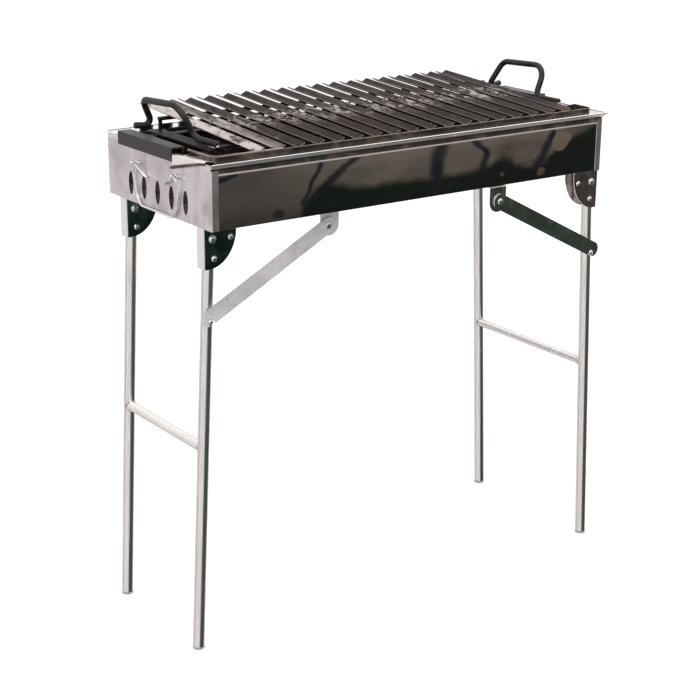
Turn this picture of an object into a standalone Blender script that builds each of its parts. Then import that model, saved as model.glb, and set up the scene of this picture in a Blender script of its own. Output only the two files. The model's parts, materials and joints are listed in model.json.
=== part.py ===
"""Portable folding charcoal grill with a lift-off V-bar grate.

Metres, +Z up, standing on z = 0.  +X runs along the fire box, -Y is the cook's
side (drip trough side).  Pieces are worked out in millimetres with the fire box
centred on x = y = 0; at the end everything moves along Y so that the origin is
the middle of the overall footprint.
"""
import math
import bpy
import bmesh
from mathutils import Matrix, Vector

MM = 0.001
GAP = 0.3                      # clearance between pieces that touch

# ---- shared dimensions, millimetres ----------------------------------------
BOX_L = 750.0                  # fire box, outside length (X)
BOX_D = 300.0                  # fire box, outside depth (Y)
HALF_L, HALF_D = BOX_L / 2, BOX_D / 2
BOX_Z0 = 663.0                 # underside of the box
BOX_Z1 = 750.0                 # where the rim starts to flare
SHEET = 1.0                    # box sheet thickness
RIM_OUT = 6.0                  # how far the rim flares out
RIM_TOP = 758.0                # centre of the rim hem

TUBE_R = 9.0                   # leg tube radius
PIVOT_X, PIVOT_Z = 358.0, 645.0            # leg pivot
LEG_Y = {"left": 113.3, "right": 139.5}    # narrow frame nests in the wide one
STUD_Z = 523.0                 # hook stud on the front leg
FITTING_TOP = BOX_Z0 - GAP     # top of brackets and tabs under the box

BAIL_Y, BAIL_Z = 58.0, 725.5   # bail hinge eyes, from the middle
BAR_Y0, BAR_Y1 = -137.0, 184.0             # V bars, front and back end
BAR_Z0, BAR_Z1 = 770.8, 790.5              # V bars, height at those ends

SIDES = (("left", -1), ("right", 1))
ENDS = (("front", -1), ("back", 1))

# ---- start from an empty scene ---------------------------------------------
for old in list(bpy.data.objects):
    bpy.data.objects.remove(old, do_unlink=True)

PARTS = bpy.data.collections.new("folding_charcoal_grill")
CUTS = bpy.data.collections.new("cutters")
bpy.context.scene.collection.children.link(PARTS)
bpy.context.scene.collection.children.link(CUTS)

# ---- materials ---------------------------------------------------------------
SATIN = dict(rgb=(0.62, 0.58, 0.59), roughness=0.35, metallic=1.0)
MIRROR = dict(rgb=(0.60, 0.60, 0.60), roughness=0.08, metallic=1.0)
TUBE = dict(rgb=(0.66, 0.67, 0.66), roughness=0.18, metallic=1.0)
ZINC = dict(rgb=(0.75, 0.75, 0.74), roughness=0.25, metallic=1.0)
BLACK = dict(rgb=(0.03, 0.03, 0.035), roughness=0.45, metallic=0.3)
CHAR = dict(rgb=(0.12, 0.10, 0.095), roughness=0.55, metallic=0.6)
PLUG = dict(rgb=(0.33, 0.33, 0.34), roughness=0.6, metallic=0.0)


def material(name, rgb, roughness, metallic):
    mat = bpy.data.materials.new(name)
    mat.use_nodes = True
    inputs = mat.node_tree.nodes["Principled BSDF"].inputs
    inputs["Base Color"].default_value = (*rgb, 1.0)
    inputs["Roughness"].default_value = roughness
    inputs["Metallic"].default_value = metallic
    return mat


# ---- objects -------------------------------------------------------------------
def add(name, mesh, look, origin=(0, 0, 0), parent=None, smooth=None):
    """Object from a mesh in millimetres, with its own material.

    origin is its pivot in the same frame; smooth is the sharp-edge angle in degrees."""
    origin = Vector(origin)
    mesh.transform(Matrix.Translation(-origin))
    mesh.transform(Matrix.Scale(MM, 4))
    mesh.name = name
    mesh.materials.append(material(name, **look))
    if smooth is not None:
        mesh.shade_smooth()
        mesh.set_sharp_from_angle(angle=math.radians(smooth))
    ob = bpy.data.objects.new(name, mesh)
    PARTS.objects.link(ob)
    ob.location = origin * MM
    if parent is not None:
        ob.parent = parent
        ob.location -= parent.location


def pivot(name, location):
    empty = bpy.data.objects.new(name, None)
    empty.location = Vector(location) * MM
    PARTS.objects.link(empty)
    return empty


# ---- mesh helpers --------------------------------------------------------------
def to_mesh(bm):
    mesh = bpy.data.meshes.new("piece")
    bmesh.ops.recalc_face_normals(bm, faces=bm.faces)
    bm.to_mesh(mesh)
    bm.free()
    return mesh


def helper(data):
    ob = bpy.data.objects.new("helper", data)
    CUTS.objects.link(ob)
    return ob


def bake(ob, merge):
    """Evaluate a helper object into a bmesh with doubles merged, then remove it."""
    bpy.context.view_layer.update()
    depsgraph = bpy.context.evaluated_depsgraph_get()
    mesh = bpy.data.meshes.new_from_object(ob.evaluated_get(depsgraph))
    bpy.data.objects.remove(ob, do_unlink=True)
    bm = bmesh.new()
    bm.from_mesh(mesh)
    bmesh.ops.remove_doubles(bm, verts=bm.verts, dist=merge)
    return bm


def aim(point, direction):
    """Matrix that puts local Z along direction, at point."""
    turn = Vector(direction).to_track_quat("Z", "Y").to_matrix().to_4x4()
    return Matrix.Translation(Vector(point)) @ turn


def box(x0, x1, y0, y1, z0, z1):
    """Box between limits; x0 and x1 may come in either order."""
    bm = bmesh.new()
    bmesh.ops.create_cube(bm, size=1.0)
    bmesh.ops.scale(bm, vec=(abs(x1 - x0), y1 - y0, z1 - z0), verts=bm.verts)
    middle = ((x0 + x1) / 2, (y0 + y1) / 2, (z0 + z1) / 2)
    bmesh.ops.translate(bm, vec=middle, verts=bm.verts)
    return to_mesh(bm)


def rod(start, end, radius, seg):
    """Solid cylinder between two points."""
    start, end = Vector(start), Vector(end)
    run = end - start
    bm = bmesh.new()
    bmesh.ops.create_cone(bm, cap_ends=True, segments=seg, radius1=radius, radius2=radius,
                          depth=run.length)
    bmesh.ops.transform(bm, matrix=aim((start + end) / 2, run), verts=bm.verts)
    return to_mesh(bm)


def drill(x, y, z, radius, seg, reach=20.0):
    """Cutter for a round hole along Y."""
    return rod((x, y - reach, z), (x, y + reach, z), radius, seg)


def turned(profile, point, direction, steps):
    """Turned solid: profile of (radius, height) pairs, both ends on the axis,
    spun round direction through point with a Screw modifier."""
    mesh = bpy.data.meshes.new("profile")
    edges = [(i, i + 1) for i in range(len(profile) - 1)]
    mesh.from_pydata([(r, 0.0, h) for r, h in profile], edges, [])
    ob = helper(mesh)
    screw = ob.modifiers.new("spin", "SCREW")
    screw.axis = "Z"
    screw.steps = steps
    screw.render_steps = steps
    screw.use_merge_vertices = True
    screw.merge_threshold = 0.0001
    screw.use_normal_calculate = True
    bm = bake(ob, merge=1e-4)
    bmesh.ops.transform(bm, matrix=aim(point, direction), verts=bm.verts)
    return to_mesh(bm)


def dome(radius, height, steps, lift=0.0):
    """Half profile of a low dome, top first: (radius, height), raised by lift."""
    angles = [math.radians(90.0 * i / steps) for i in range(steps + 1)]
    return [(radius * math.sin(a), height * math.cos(a) + lift) for a in angles]


def poly_curve(dimensions, points):
    curve = bpy.data.curves.new("poly", "CURVE")
    curve.dimensions = dimensions
    spline = curve.splines.new("POLY")
    spline.points.add(len(points) - 1)
    for target, point in zip(spline.points, points):
        target.co = (*point, 1.0)
    return curve, spline


def outline(loop, thick, matrix):
    """Flat plate: closed 2D loop, extruded symmetrically by thick along local Z,
    then placed by matrix."""
    curve, spline = poly_curve("2D", [(u, v, 0.0) for u, v in loop])
    spline.use_cyclic_u = True
    curve.fill_mode = "BOTH"
    curve.extrude = thick / 2
    bm = bake(helper(curve), merge=1e-4)
    bmesh.ops.transform(bm, matrix=matrix, verts=bm.verts)
    return to_mesh(bm)


def wire(points, radius):
    """Round wire or rod through points, closed at both ends."""
    curve, _ = poly_curve("3D", points)
    curve.bevel_depth = radius
    curve.bevel_resolution = 1
    curve.use_fill_caps = True
    return to_mesh(bake(helper(curve), merge=1e-3))


def axes(local_x, local_y, local_z, at):
    matrix = Matrix((local_x, local_y, local_z)).transposed().to_4x4()
    matrix.translation = Vector(at)
    return matrix


def in_xz(y):
    """Placement for an outline drawn in X, Z."""
    return axes((1, 0, 0), (0, 0, 1), (0, -1, 0), (0, y, 0))


def in_yz(x):
    """Placement for an outline drawn in Y, Z."""
    return axes((0, 1, 0), (0, 0, 1), (1, 0, 0), (x, 0, 0))


def in_xy(z):
    """Placement for an outline drawn in X, Y."""
    return axes((1, 0, 0), (0, 1, 0), (0, 0, 1), (0, 0, z))


def fillet(points, radius, seg=3):
    """Round the inner corners of a polyline."""
    points = [Vector(p) for p in points]
    out = [points[0]]
    for before, corner, after in zip(points, points[1:], points[2:]):
        back, ahead = before - corner, after - corner
        reach = min(radius, back.length * 0.45, ahead.length * 0.45)
        start = corner + back.normalized() * reach
        end = corner + ahead.normalized() * reach
        for i in range(seg + 1):
            t = i / seg
            out.append(start * (1 - t) ** 2 + corner * 2 * t * (1 - t) + end * t * t)
    return out + [points[-1]]


def round_rect(u0, u1, v0, v1, radius, seg=4):
    corners = ((u1 - radius, v1 - radius, 0), (u0 + radius, v1 - radius, 90),
               (u0 + radius, v0 + radius, 180), (u1 - radius, v0 + radius, 270))
    out = []
    for u, v, first in corners:
        for i in range(seg + 1):
            a = math.radians(first + 90 * i / seg)
            out.append((u + radius * math.cos(a), v + radius * math.sin(a)))
    return out


def ellipse(u, v, half_u, half_v, count=14):
    angles = [2 * math.pi * i / count for i in range(count)]
    return [(u + half_u * math.cos(a), v + half_v * math.sin(a)) for a in angles]


def torus(x, y, z, major_r, minor_r, major_seg, minor_seg):
    """Ring standing in the XZ plane."""
    bm = bmesh.new()
    rings = []
    for i in range(major_seg):
        a = 2 * math.pi * i / major_seg
        ring = []
        for j in range(minor_seg):
            b = 2 * math.pi * j / minor_seg
            r = major_r + minor_r * math.cos(b)
            place = (x + r * math.cos(a), y + minor_r * math.sin(b), z + r * math.sin(a))
            ring.append(bm.verts.new(place))
        rings.append(ring)
    for i, ring in enumerate(rings):
        following = rings[(i + 1) % major_seg]
        for j in range(minor_seg):
            k = (j + 1) % minor_seg
            bm.faces.new((ring[j], following[j], following[k], ring[k]))
    return to_mesh(bm)


def join(meshes):
    """One mesh holding several shells."""
    bm = bmesh.new()
    for mesh in meshes:
        bm.from_mesh(mesh)
    return to_mesh(bm)


def boolean(base, other, operation):
    target, tool = helper(base), helper(other)
    tool.hide_render = True
    modifier = target.modifiers.new("bool", "BOOLEAN")
    modifier.operation = operation
    modifier.object = tool
    modifier.solver = "EXACT"
    bm = bake(target, merge=2e-3)
    bpy.data.objects.remove(tool, do_unlink=True)
    bmesh.ops.dissolve_degenerate(bm, edges=bm.edges, dist=2e-3)
    return to_mesh(bm)


def cut(base, *cutters):
    """Take all cutters away in one step; they must not overlap."""
    return boolean(base, join(cutters) if len(cutters) > 1 else cutters[0], "DIFFERENCE")


def union(first, *rest):
    for other in rest:
        first = boolean(first, other, "UNION")
    return first


def mirror_x(mesh):
    bm = bmesh.new()
    bm.from_mesh(mesh)
    bmesh.ops.scale(bm, vec=(-1, 1, 1), verts=bm.verts)
    bmesh.ops.reverse_faces(bm, faces=bm.faces)
    return to_mesh(bm)


# ---- fire box --------------------------------------------------------------------
# rim profile: outward distance from the outer face, height
RIM = [(0.0, BOX_Z1), (RIM_OUT - 0.9, RIM_TOP - 1.4), (RIM_OUT + 0.2, RIM_TOP),
       (RIM_OUT - 0.6, RIM_TOP + 1.0), (RIM_OUT - 1.8, RIM_TOP + 0.2), (-SHEET, BOX_Z1 + 0.6)]
WRAP = 12.0                    # end-panel flange folded round the corner
END_TOP = BOX_Z1 - 0.6         # top of the end panel's folded sheet
END_RIM_Z0 = BOX_Z1 - 3.0      # the end rim starts inside that sheet
VENT_PITCH, VENT_Z = 40.0, 691.5
VENT_W, VENT_H = 14.0, 36.0
EYE_HOLE_R = 2.5


def mitre(mesh, axis_out, axis_along, face, end):
    """Run the flared rim's ends out at 45 degrees so that the rims meet."""
    for v in mesh.vertices:
        out = abs(v.co[axis_out]) - face
        if out > 0.01:
            sign = 1 if v.co[axis_along] > 0 else -1
            v.co[axis_along] = sign * (end + out - GAP / 2)
    return mesh


def long_panel(sign):
    profile = [(-SHEET, BOX_Z0), (0.0, BOX_Z0)] + RIM
    loop = [(sign * (HALF_D + out), z) for out, z in profile]
    panel = outline(loop, BOX_L - 2 * SHEET - 2 * GAP, in_yz(0))
    return mitre(panel, axis_out=1, axis_along=0, face=HALF_D, end=HALF_L)


def left_end_panel():
    """End panel with flanges folded round the front and back corners."""
    inner = HALF_D + GAP
    outer = inner + SHEET
    half_channel = [(-HALF_L, -outer), (-HALF_L + WRAP, -outer),
                    (-HALF_L + WRAP, -inner), (-HALF_L + SHEET, -inner)]
    channel = half_channel + [(x, -y) for x, y in reversed(half_channel)]
    sheet = outline(channel, END_TOP - BOX_Z0, in_xy((BOX_Z0 + END_TOP) / 2))
    profile = [(-SHEET, END_RIM_Z0), (0.0, END_RIM_Z0)] + RIM
    rim = outline([(-(HALF_L + out), z) for out, z in profile],
                  BOX_D - 2 * SHEET - GAP, in_xz(0))
    rim = mitre(rim, axis_out=0, axis_along=1, face=HALF_L, end=HALF_D)
    vents = [outline(ellipse(VENT_PITCH * i, VENT_Z, VENT_W / 2, VENT_H / 2), 8.0,
                     in_yz(-HALF_L)) for i in range(-2, 3)]
    eye_holes = [rod((-HALF_L - 4, y, BAIL_Z), (-HALF_L + 4, y, BAIL_Z), EYE_HOLE_R, seg=12)
                 for y in (-BAIL_Y, BAIL_Y)]
    return cut(union(sheet, rim), *vents, *eye_holes)


def bottom_pan():
    x, y = HALF_L - SHEET - GAP, HALF_D - SHEET - GAP
    return box(-x, x, -y, y, BOX_Z0, BOX_Z0 + SHEET)


add("front_panel", long_panel(-1), MIRROR)
add("back_panel", long_panel(1), MIRROR)
left_end = left_end_panel()
add("right_end_panel", mirror_x(left_end), SATIN)
add("left_end_panel", left_end, SATIN)
add("bottom_pan", bottom_pan(), SATIN)

# ---- charcoal grid on its two ledges ------------------------------------------
LEDGE_Z0, LEDGE_Z1 = 676.0, 689.2
LEDGE_W, LEDGE_T, LEDGE_L = 16.0, 1.2, 240.0
GRID_Z, GRID_T = 690.0, 1.2    # underside and thickness
GRID_X, GRID_Y = HALF_L - 4.0, HALF_D - 4.5    # half sizes
SLOT_PITCH, SLOT_HALF = 64.0, 6.0
SLOT_ROWS = ((-130, -10), (10, 130))           # front and back end of each row


def grid_ledge(sign):
    wall = HALF_L - SHEET - GAP
    profile = [(wall, LEDGE_Z0), (wall, LEDGE_Z1),
               (wall - LEDGE_W, LEDGE_Z1), (wall - LEDGE_W, LEDGE_Z1 - LEDGE_T),
               (wall - LEDGE_T, LEDGE_Z1 - LEDGE_T), (wall - LEDGE_T, LEDGE_Z0)]
    return outline([(sign * x, z) for x, z in profile], LEDGE_L, in_xz(0))


def charcoal_grid():
    slots = [box(i * SLOT_PITCH - SLOT_HALF, i * SLOT_PITCH + SLOT_HALF, y0, y1,
                 GRID_Z - 3, GRID_Z + 4)
             for i in range(-5, 6) for y0, y1 in SLOT_ROWS]
    return cut(box(-GRID_X, GRID_X, -GRID_Y, GRID_Y, GRID_Z, GRID_Z + GRID_T), *slots)


for side, s in SIDES:
    add("grid_ledge_" + side, grid_ledge(s), SATIN)
grid_lift = pivot("charcoal_grid_lift", (0, 0, GRID_Z))
add("charcoal_grid", charcoal_grid(), CHAR, origin=(0, 0, GRID_Z), parent=grid_lift)

# ---- leg brackets, pivot bolts and detent rivets --------------------------------
CHEEK_IN = TUBE_R + 0.4        # inner face of a cheek from the leg's middle plane
CHEEK_T = 1.5
CHEEK_OUT = CHEEK_IN + CHEEK_T
CHEEK_X0, CHEEK_X1 = 372.0, 318.0              # outboard and inboard edge
CHEEK_Z0 = 601.0
CURVE_X, CURVE_Z = CHEEK_X0 - 7.0, FITTING_TOP - 5.0   # centre of the curved edge
DETENTS = {"fold": (PIVOT_X - 30.0, PIVOT_Z), "open": (PIVOT_X - 2.0, PIVOT_Z - 29.0)}
DENT_R, DENT_H, DENT_ROOT = 4.0, 1.8, -0.7     # pressed dome; root inside the cheek
BOLT_R, BOLT_HEAD_R, BOLT_HEAD_H = 3.0, 5.2, 2.2
BOLT_HOLE_R = 3.3
RIVET_R, RIVET_HEAD_R, RIVET_HEAD_H = 2.2, 4.4, 1.9
RIVET_HOLE_R = 2.6
RIVET_STANDOFF, RIVET_LIFT = 0.15, 0.1         # datum off the cheek, head off the datum


def cheek_loop(sign):
    loop = [(CHEEK_X0, CHEEK_Z0), (CHEEK_X0, FITTING_TOP), (CHEEK_X1, FITTING_TOP)]
    for i in range(8):
        a = math.radians(180 + 90 * i / 7)
        loop.append((CURVE_X + (CURVE_X - CHEEK_X1) * math.cos(a),
                     CURVE_Z + (CURVE_Z - CHEEK_Z0) * math.sin(a)))
    return [(sign * x, z) for x, z in loop]


def bracket(s, leg_y):
    """Two cheeks joined by an outboard web and a top plate."""
    cheeks = [outline(cheek_loop(s), CHEEK_T, in_xz(leg_y + e * (CHEEK_IN + CHEEK_T / 2)))
              for e in (-1, 1)]
    y0, y1 = leg_y - CHEEK_OUT, leg_y + CHEEK_OUT
    web = box(s * CHEEK_X0, s * (CHEEK_X0 - CHEEK_T), y0, y1, CHEEK_Z0 + 3, FITTING_TOP)
    top = box(s * CHEEK_X0, s * CHEEK_X1, y0, y1, FITTING_TOP - CHEEK_T, FITTING_TOP)
    # domes on the +Y cheek, rivet holes in the -Y cheek
    profile = dome(DENT_R, DENT_H, 2) + [(DENT_R, DENT_ROOT), (0.0, DENT_ROOT)]
    domes = [turned(profile, (s * x, y1, z), (0, 1, 0), steps=8)
             for x, z in DETENTS.values()]
    rivet_holes = [rod((s * x, leg_y - 20, z), (s * x, leg_y - CHEEK_IN + 0.2, z),
                       RIVET_HOLE_R, seg=8) for x, z in DETENTS.values()]
    body = union(*cheeks, web, top, *domes)
    return cut(body, drill(s * PIVOT_X, leg_y, PIVOT_Z, BOLT_HOLE_R, seg=10), *rivet_holes)


def pivot_bolt(s, leg_y):
    seat = CHEEK_OUT + GAP
    half = dome(BOLT_HEAD_R, BOLT_HEAD_H, 3, lift=seat) + [(BOLT_R, seat)]
    profile = half + [(r, -h) for r, h in reversed(half)]
    return turned(profile, (s * PIVOT_X, leg_y, PIVOT_Z), (0, 1, 0), steps=12)


def detent_rivet(s, leg_y, x, z):
    tail = -CHEEK_T + RIVET_LIFT
    profile = dome(RIVET_HEAD_R, RIVET_HEAD_H, 2, lift=RIVET_LIFT)
    profile += [(RIVET_R, RIVET_LIFT), (RIVET_R, tail), (0.0, tail)]
    datum = (s * x, leg_y - CHEEK_OUT - RIVET_STANDOFF, z)
    return turned(profile, datum, (0, -1, 0), steps=10)


for side, s in SIDES:
    for end, e in ENDS:
        leg_y = e * LEG_Y[side]
        tag = side + "_" + end
        add("leg_bracket_" + tag, bracket(s, leg_y), MIRROR)
        add("leg_pivot_bolt_" + tag, pivot_bolt(s, leg_y), ZINC, smooth=40)
        for detent, (x, z) in DETENTS.items():
            add("detent_rivet_%s_%s" % (detent, tag), detent_rivet(s, leg_y, x, z), ZINC,
                smooth=40)

# ---- leg frames ------------------------------------------------------------------
BORE_R = TUBE_R - 1.2          # inside a 1.2 wall
LEAN = math.tan(math.radians(2.8))             # legs splay outward
LEG_TOP = 6.5                  # tube above the pivot
CROSS_R, CROSS_Z = 8.0, 326.0  # cross bar between the two legs
PLUG_H = 3.0                   # plug disc under the tube
SPIGOT_Z0, SPIGOT_Z1 = 1.5, 16.0
SPIGOT_R = BORE_R - 0.7
TUBE_BOLT_HOLE_R, STUD_HOLE_R = 3.25, 3.4


def on_leg(s, leg_y, z):
    """Point on a leg's axis at height z."""
    return Vector((s * (PIVOT_X + (PIVOT_Z - z) * LEAN), leg_y, z))


def level(mesh, start, end, start_z=None, end_z=None):
    """Saw the ends of a leaning tube level: slide each end's points along the
    tube to height start_z or end_z; None leaves that end square."""
    along = (end - start).normalized()
    half = (end - start).length / 2
    for v in mesh.vertices:
        z = start_z if (v.co - start).dot(along) < half else end_z
        if z is not None:
            v.co += along * ((z - v.co.z) / along.z)
    return mesh


def leg_tube(s, leg_y, has_stud):
    hinge = on_leg(s, leg_y, PIVOT_Z)
    down = (on_leg(s, leg_y, 0) - hinge).normalized()
    top = hinge - down * LEG_TOP
    foot_z = PLUG_H + GAP
    foot = on_leg(s, leg_y, foot_z)
    tube = level(rod(top, foot, TUBE_R, seg=20), top, foot, end_z=foot_z)
    tube = cut(tube, rod(top - down * 4, foot + down * 4, BORE_R, seg=12))
    tube = cut(tube, drill(s * PIVOT_X, leg_y, PIVOT_Z, TUBE_BOLT_HOLE_R, seg=10))
    if has_stud:
        # through the cook's side wall only
        stud = on_leg(s, leg_y, STUD_Z)
        tube = cut(tube, rod(stud - Vector((0, 20, 0)), stud, STUD_HOLE_R, seg=8))
    return tube


def leg_plug(s, leg_y):
    """Disc under the tube and a spigot up its bore."""
    top, floor = on_leg(s, leg_y, PLUG_H), on_leg(s, leg_y, 0.0)
    disc = level(rod(top, floor, TUBE_R, seg=20), top, floor, start_z=PLUG_H, end_z=0.0)
    spigot = rod(on_leg(s, leg_y, SPIGOT_Z1), on_leg(s, leg_y, SPIGOT_Z0), SPIGOT_R, seg=10)
    return union(disc, spigot)


def cross_bar(s, half_width):
    """Cross bar with its ends coped to the leg tubes."""
    bar = rod(on_leg(s, -half_width, CROSS_Z), on_leg(s, half_width, CROSS_Z),
              CROSS_R, seg=16)
    copes = [rod(on_leg(s, e * half_width, CROSS_Z + 40),
                 on_leg(s, e * half_width, CROSS_Z - 40), TUBE_R + GAP + 0.1, seg=20)
             for e in (-1, 1)]
    return cut(bar, *copes)


leg_pivots = {}
for side, s in SIDES:
    leg_pivots[side] = pivot(side + "_leg_pivot", (s * PIVOT_X, 0, PIVOT_Z))
    for end, e in ENDS:
        leg_y = e * LEG_Y[side]
        hinged = dict(origin=(s * PIVOT_X, leg_y, PIVOT_Z), parent=leg_pivots[side], smooth=40)
        tag = side + "_" + end
        add("leg_tube_" + tag, leg_tube(s, leg_y, end == "front"), TUBE, **hinged)
        add("leg_plug_" + tag, leg_plug(s, leg_y), PLUG, **hinged)
    add("cross_bar_" + side, cross_bar(s, LEG_Y[side]), TUBE,
        origin=(s * PIVOT_X, 0, PIVOT_Z), parent=leg_pivots[side], smooth=40)

# ---- folding stays, their tabs, rivets and hook studs ----------------------------
STAY_X, STAY_Z = 157.5, 638.0  # stay pivot
STAY_W, STAY_T = 25.0, 1.6
STAY_HOLE_R = 2.75
TAB_T, TAB_X, TAB_R = 1.2, 154.0, 16.6         # thickness, middle, half width
TAB_CLEAR = 0.9                # leg tube to tab
TAB_FLANGE, TAB_HOLE_R = 22.0, 2.9
TAB_GAP, HEAD_GAP = 0.5, 0.4   # the stay hangs loose on its rivet
PIN_R, PIN_HEAD_R, PIN_HEAD_H = 2.5, 5.2, 1.9  # stay rivet
PIN_TAIL_R, PIN_TAIL_T, PIN_TAIL_GAP = 4.0, 0.4, 0.2
STUD_R, NOTCH_R = 3.8, 4.9
STUD_NECK_R, STUD_NECK_L = 3.0, 2.4            # end that enters the leg tube
STUD_DROP = STAY_W / 2 - 5.5   # the stud sits this far below the stay's middle line
# open mouth of the hook, swept by slots from the stud: inboard share, down share, length
MOUTH = [(0.0, 1.0, 30.0), (1.0, 0.0, 60.0), (1.0, 1.0, 40.0), (1.0, 0.4, 50.0),
         (0.4, 1.0, 34.0)]


def stay_tab(s, y_out):
    """Tab with a rounded foot and a top flange; y_out is its outer (-Y) face."""
    x = s * TAB_X
    loop = [(x - TAB_R, FITTING_TOP), (x - TAB_R, STAY_Z)]
    for degrees in range(20, 180, 20):
        a = math.radians(degrees)
        loop.append((x - TAB_R * math.cos(a), STAY_Z - TAB_R * math.sin(a)))
    loop += [(x + TAB_R, STAY_Z), (x + TAB_R, FITTING_TOP)]
    tab = outline(loop, TAB_T, in_xz(y_out + TAB_T / 2))
    flange = box(x - TAB_R, x + TAB_R, y_out, y_out + TAB_FLANGE,
                 FITTING_TOP - TAB_T, FITTING_TOP)
    return cut(union(tab, flange), drill(s * STAY_X, y_out, STAY_Z, TAB_HOLE_R, seg=10))


def mouth_slot(stud, y, direction, length):
    along = direction.normalized()
    across = Vector((-along.z, 0, along.x)) * (NOTCH_R - 0.1)
    points = [stud - across, stud - across + along * length,
              stud + across + along * length, stud + across]
    return outline([(p.x, p.z) for p in points], 12.0, in_xz(y))


def folding_stay(s, y):
    """Round-ended strap with a hook mouth round the stud."""
    hinge = Vector((s * STAY_X, 0, STAY_Z))
    stud = on_leg(s, 0, STUD_Z)
    line = (stud - hinge).normalized()
    below = Vector((line.z, 0, -line.x)) * s
    tip = stud - below * STUD_DROP
    along = (tip - hinge).normalized()
    above = Vector((-along.z, 0, along.x)) * s
    radius = STAY_W / 2
    loop = []
    for centre, ahead, beside in ((tip, along, above), (hinge, -along, -above)):
        for i in range(11):
            a = math.radians(-90 + 18 * i)
            point = centre + ahead * (radius * math.cos(a)) + beside * (radius * math.sin(a))
            loop.append((point.x, point.z))
    stay = outline(loop, STAY_T, in_xz(y))
    stay = cut(stay, drill(stud.x, y, stud.z, NOTCH_R, seg=14))
    inboard = Vector((-s, 0, 0))
    for inboard_share, down_share, length in MOUTH:
        direction = inboard * inboard_share - above * down_share
        stay = cut(stay, mouth_slot(stud, y, direction, length))
    return cut(stay, drill(hinge.x, y, hinge.z, STAY_HOLE_R, seg=10))


def stay_rivet(s, y_face):
    tail = -(STAY_T + HEAD_GAP + TAB_GAP + TAB_T + PIN_TAIL_GAP)
    profile = dome(PIN_HEAD_R, PIN_HEAD_H, 2)
    profile += [(PIN_R, 0.0), (PIN_R, tail), (PIN_TAIL_R, tail),
                (PIN_TAIL_R, tail - PIN_TAIL_T), (0.0, tail - PIN_TAIL_T)]
    return turned(profile, (s * STAY_X, y_face - HEAD_GAP, STAY_Z), (0, -1, 0), steps=12)


def hook_stud(s, y_face):
    """Domed peg, no wider than its shank, so that a sprung stay can pass over it."""
    end = -(STAY_T + TAB_GAP + TAB_T + TAB_CLEAR + STUD_NECK_L)
    shoulder = end + STUD_NECK_L
    profile = [(0.0, 0.0), (2.2, -0.15), (STUD_R - 0.3, -0.6), (STUD_R, -1.1),
               (STUD_R, shoulder), (STUD_NECK_R, shoulder), (STUD_NECK_R, end), (0.0, end)]
    return turned(profile, on_leg(s, y_face, STUD_Z), (0, -1, 0), steps=12)


for side, s in SIDES:
    y_tab = -(LEG_Y[side] + TUBE_R + TAB_CLEAR + TAB_T)    # outer face of the tab
    y_in = y_tab - TAB_GAP                                 # inner face of the stay
    y_face = y_in - STAY_T                                 # outer face of the stay
    hinge = (s * STAY_X, y_in - STAY_T / 2, STAY_Z)
    add("stay_tab_" + side, stay_tab(s, y_tab), MIRROR)
    add("folding_stay_" + side, folding_stay(s, hinge[1]), SATIN, origin=hinge,
        parent=pivot(side + "_stay_pivot", hinge))
    add("stay_rivet_" + side, stay_rivet(s, y_face), ZINC, smooth=40)
    add("hook_stud_" + side, hook_stud(s, y_face), ZINC,
        origin=(s * PIVOT_X, -LEG_Y[side], PIVOT_Z), parent=leg_pivots[side], smooth=40)

# ---- bail handles on the two ends ------------------------------------------------
EYE_OFF = 7.2                  # bail hinge line stands off the panel
BAIL_WIRE_R, BAIL_BEND = 1.75, 7.0
# half of the bail wire, (Y, Z): hooked end through the eye, then the grip
BAIL_END = [(31, 706), (52.5, 723.2), (55.0, BAIL_Z), (61.0, BAIL_Z), (63.5, 722.0)]
BAIL_GRIP = [(68, 705), (57, 675), (46, 663.5)]
# shank pieces of an eye: outer end, inner end (both from the panel face), radius, segments
EYE_SHANK = [(EYE_OFF - 3.9, -3.2, 1.9, 6),            # stem
             (1.6, 0.3, 4.2, 8),                       # collar
             (-SHEET - 0.3, -SHEET - 2.0, 4.2, 8)]     # nut


def both_halves(x, half):
    return [(x, y, z) for y, z in half] + [(x, -y, z) for y, z in reversed(half)]


def bail_handle(x):
    ends = both_halves(x, BAIL_END)
    grip = fillet(both_halves(x, BAIL_GRIP), BAIL_BEND)
    count = len(BAIL_END)
    return wire(ends[:count] + grip + ends[count:], BAIL_WIRE_R)


def bail_eye(s, y):
    ring = torus(s * (HALF_L + EYE_OFF), y, BAIL_Z, major_r=4.0, minor_r=1.3,
                 major_seg=12, minor_seg=6)
    shank = [rod((s * (HALF_L + outer), y, BAIL_Z), (s * (HALF_L + inner), y, BAIL_Z),
                 radius, seg) for outer, inner, radius, seg in EYE_SHANK]
    return union(ring, *shank)


for side, s in SIDES:
    hinge = (s * (HALF_L + EYE_OFF), 0, BAIL_Z)
    add("bail_handle_" + side, bail_handle(hinge[0]), ZINC, origin=hinge,
        parent=pivot(side + "_bail_hinge", hinge), smooth=50)
    for end, e in ENDS:
        add("bail_eye_%s_%s" % (side, end), bail_eye(s, e * BAIL_Y), ZINC, smooth=50)

# ---- lift-off grate unit: frame and drip trough ----------------------------------
FRAME_X = HALF_L + RIM_OUT + 2.5               # outer face of the end bars
# end bar section: distance from the middle in X, height
END_BAR = [(FRAME_X, 748.0), (FRAME_X, 768.0), (361.0, 768.0), (361.0, 757.3),
           (371.0, 757.3), (371.0, 759.8), (FRAME_X - 1.8, 759.8), (FRAME_X - 1.8, 748.0)]
END_BAR_Y0, END_BAR_Y1 = {"left": -56.0, "right": -2.0}, 101.0
RAIL_TOP = 757.0
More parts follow.
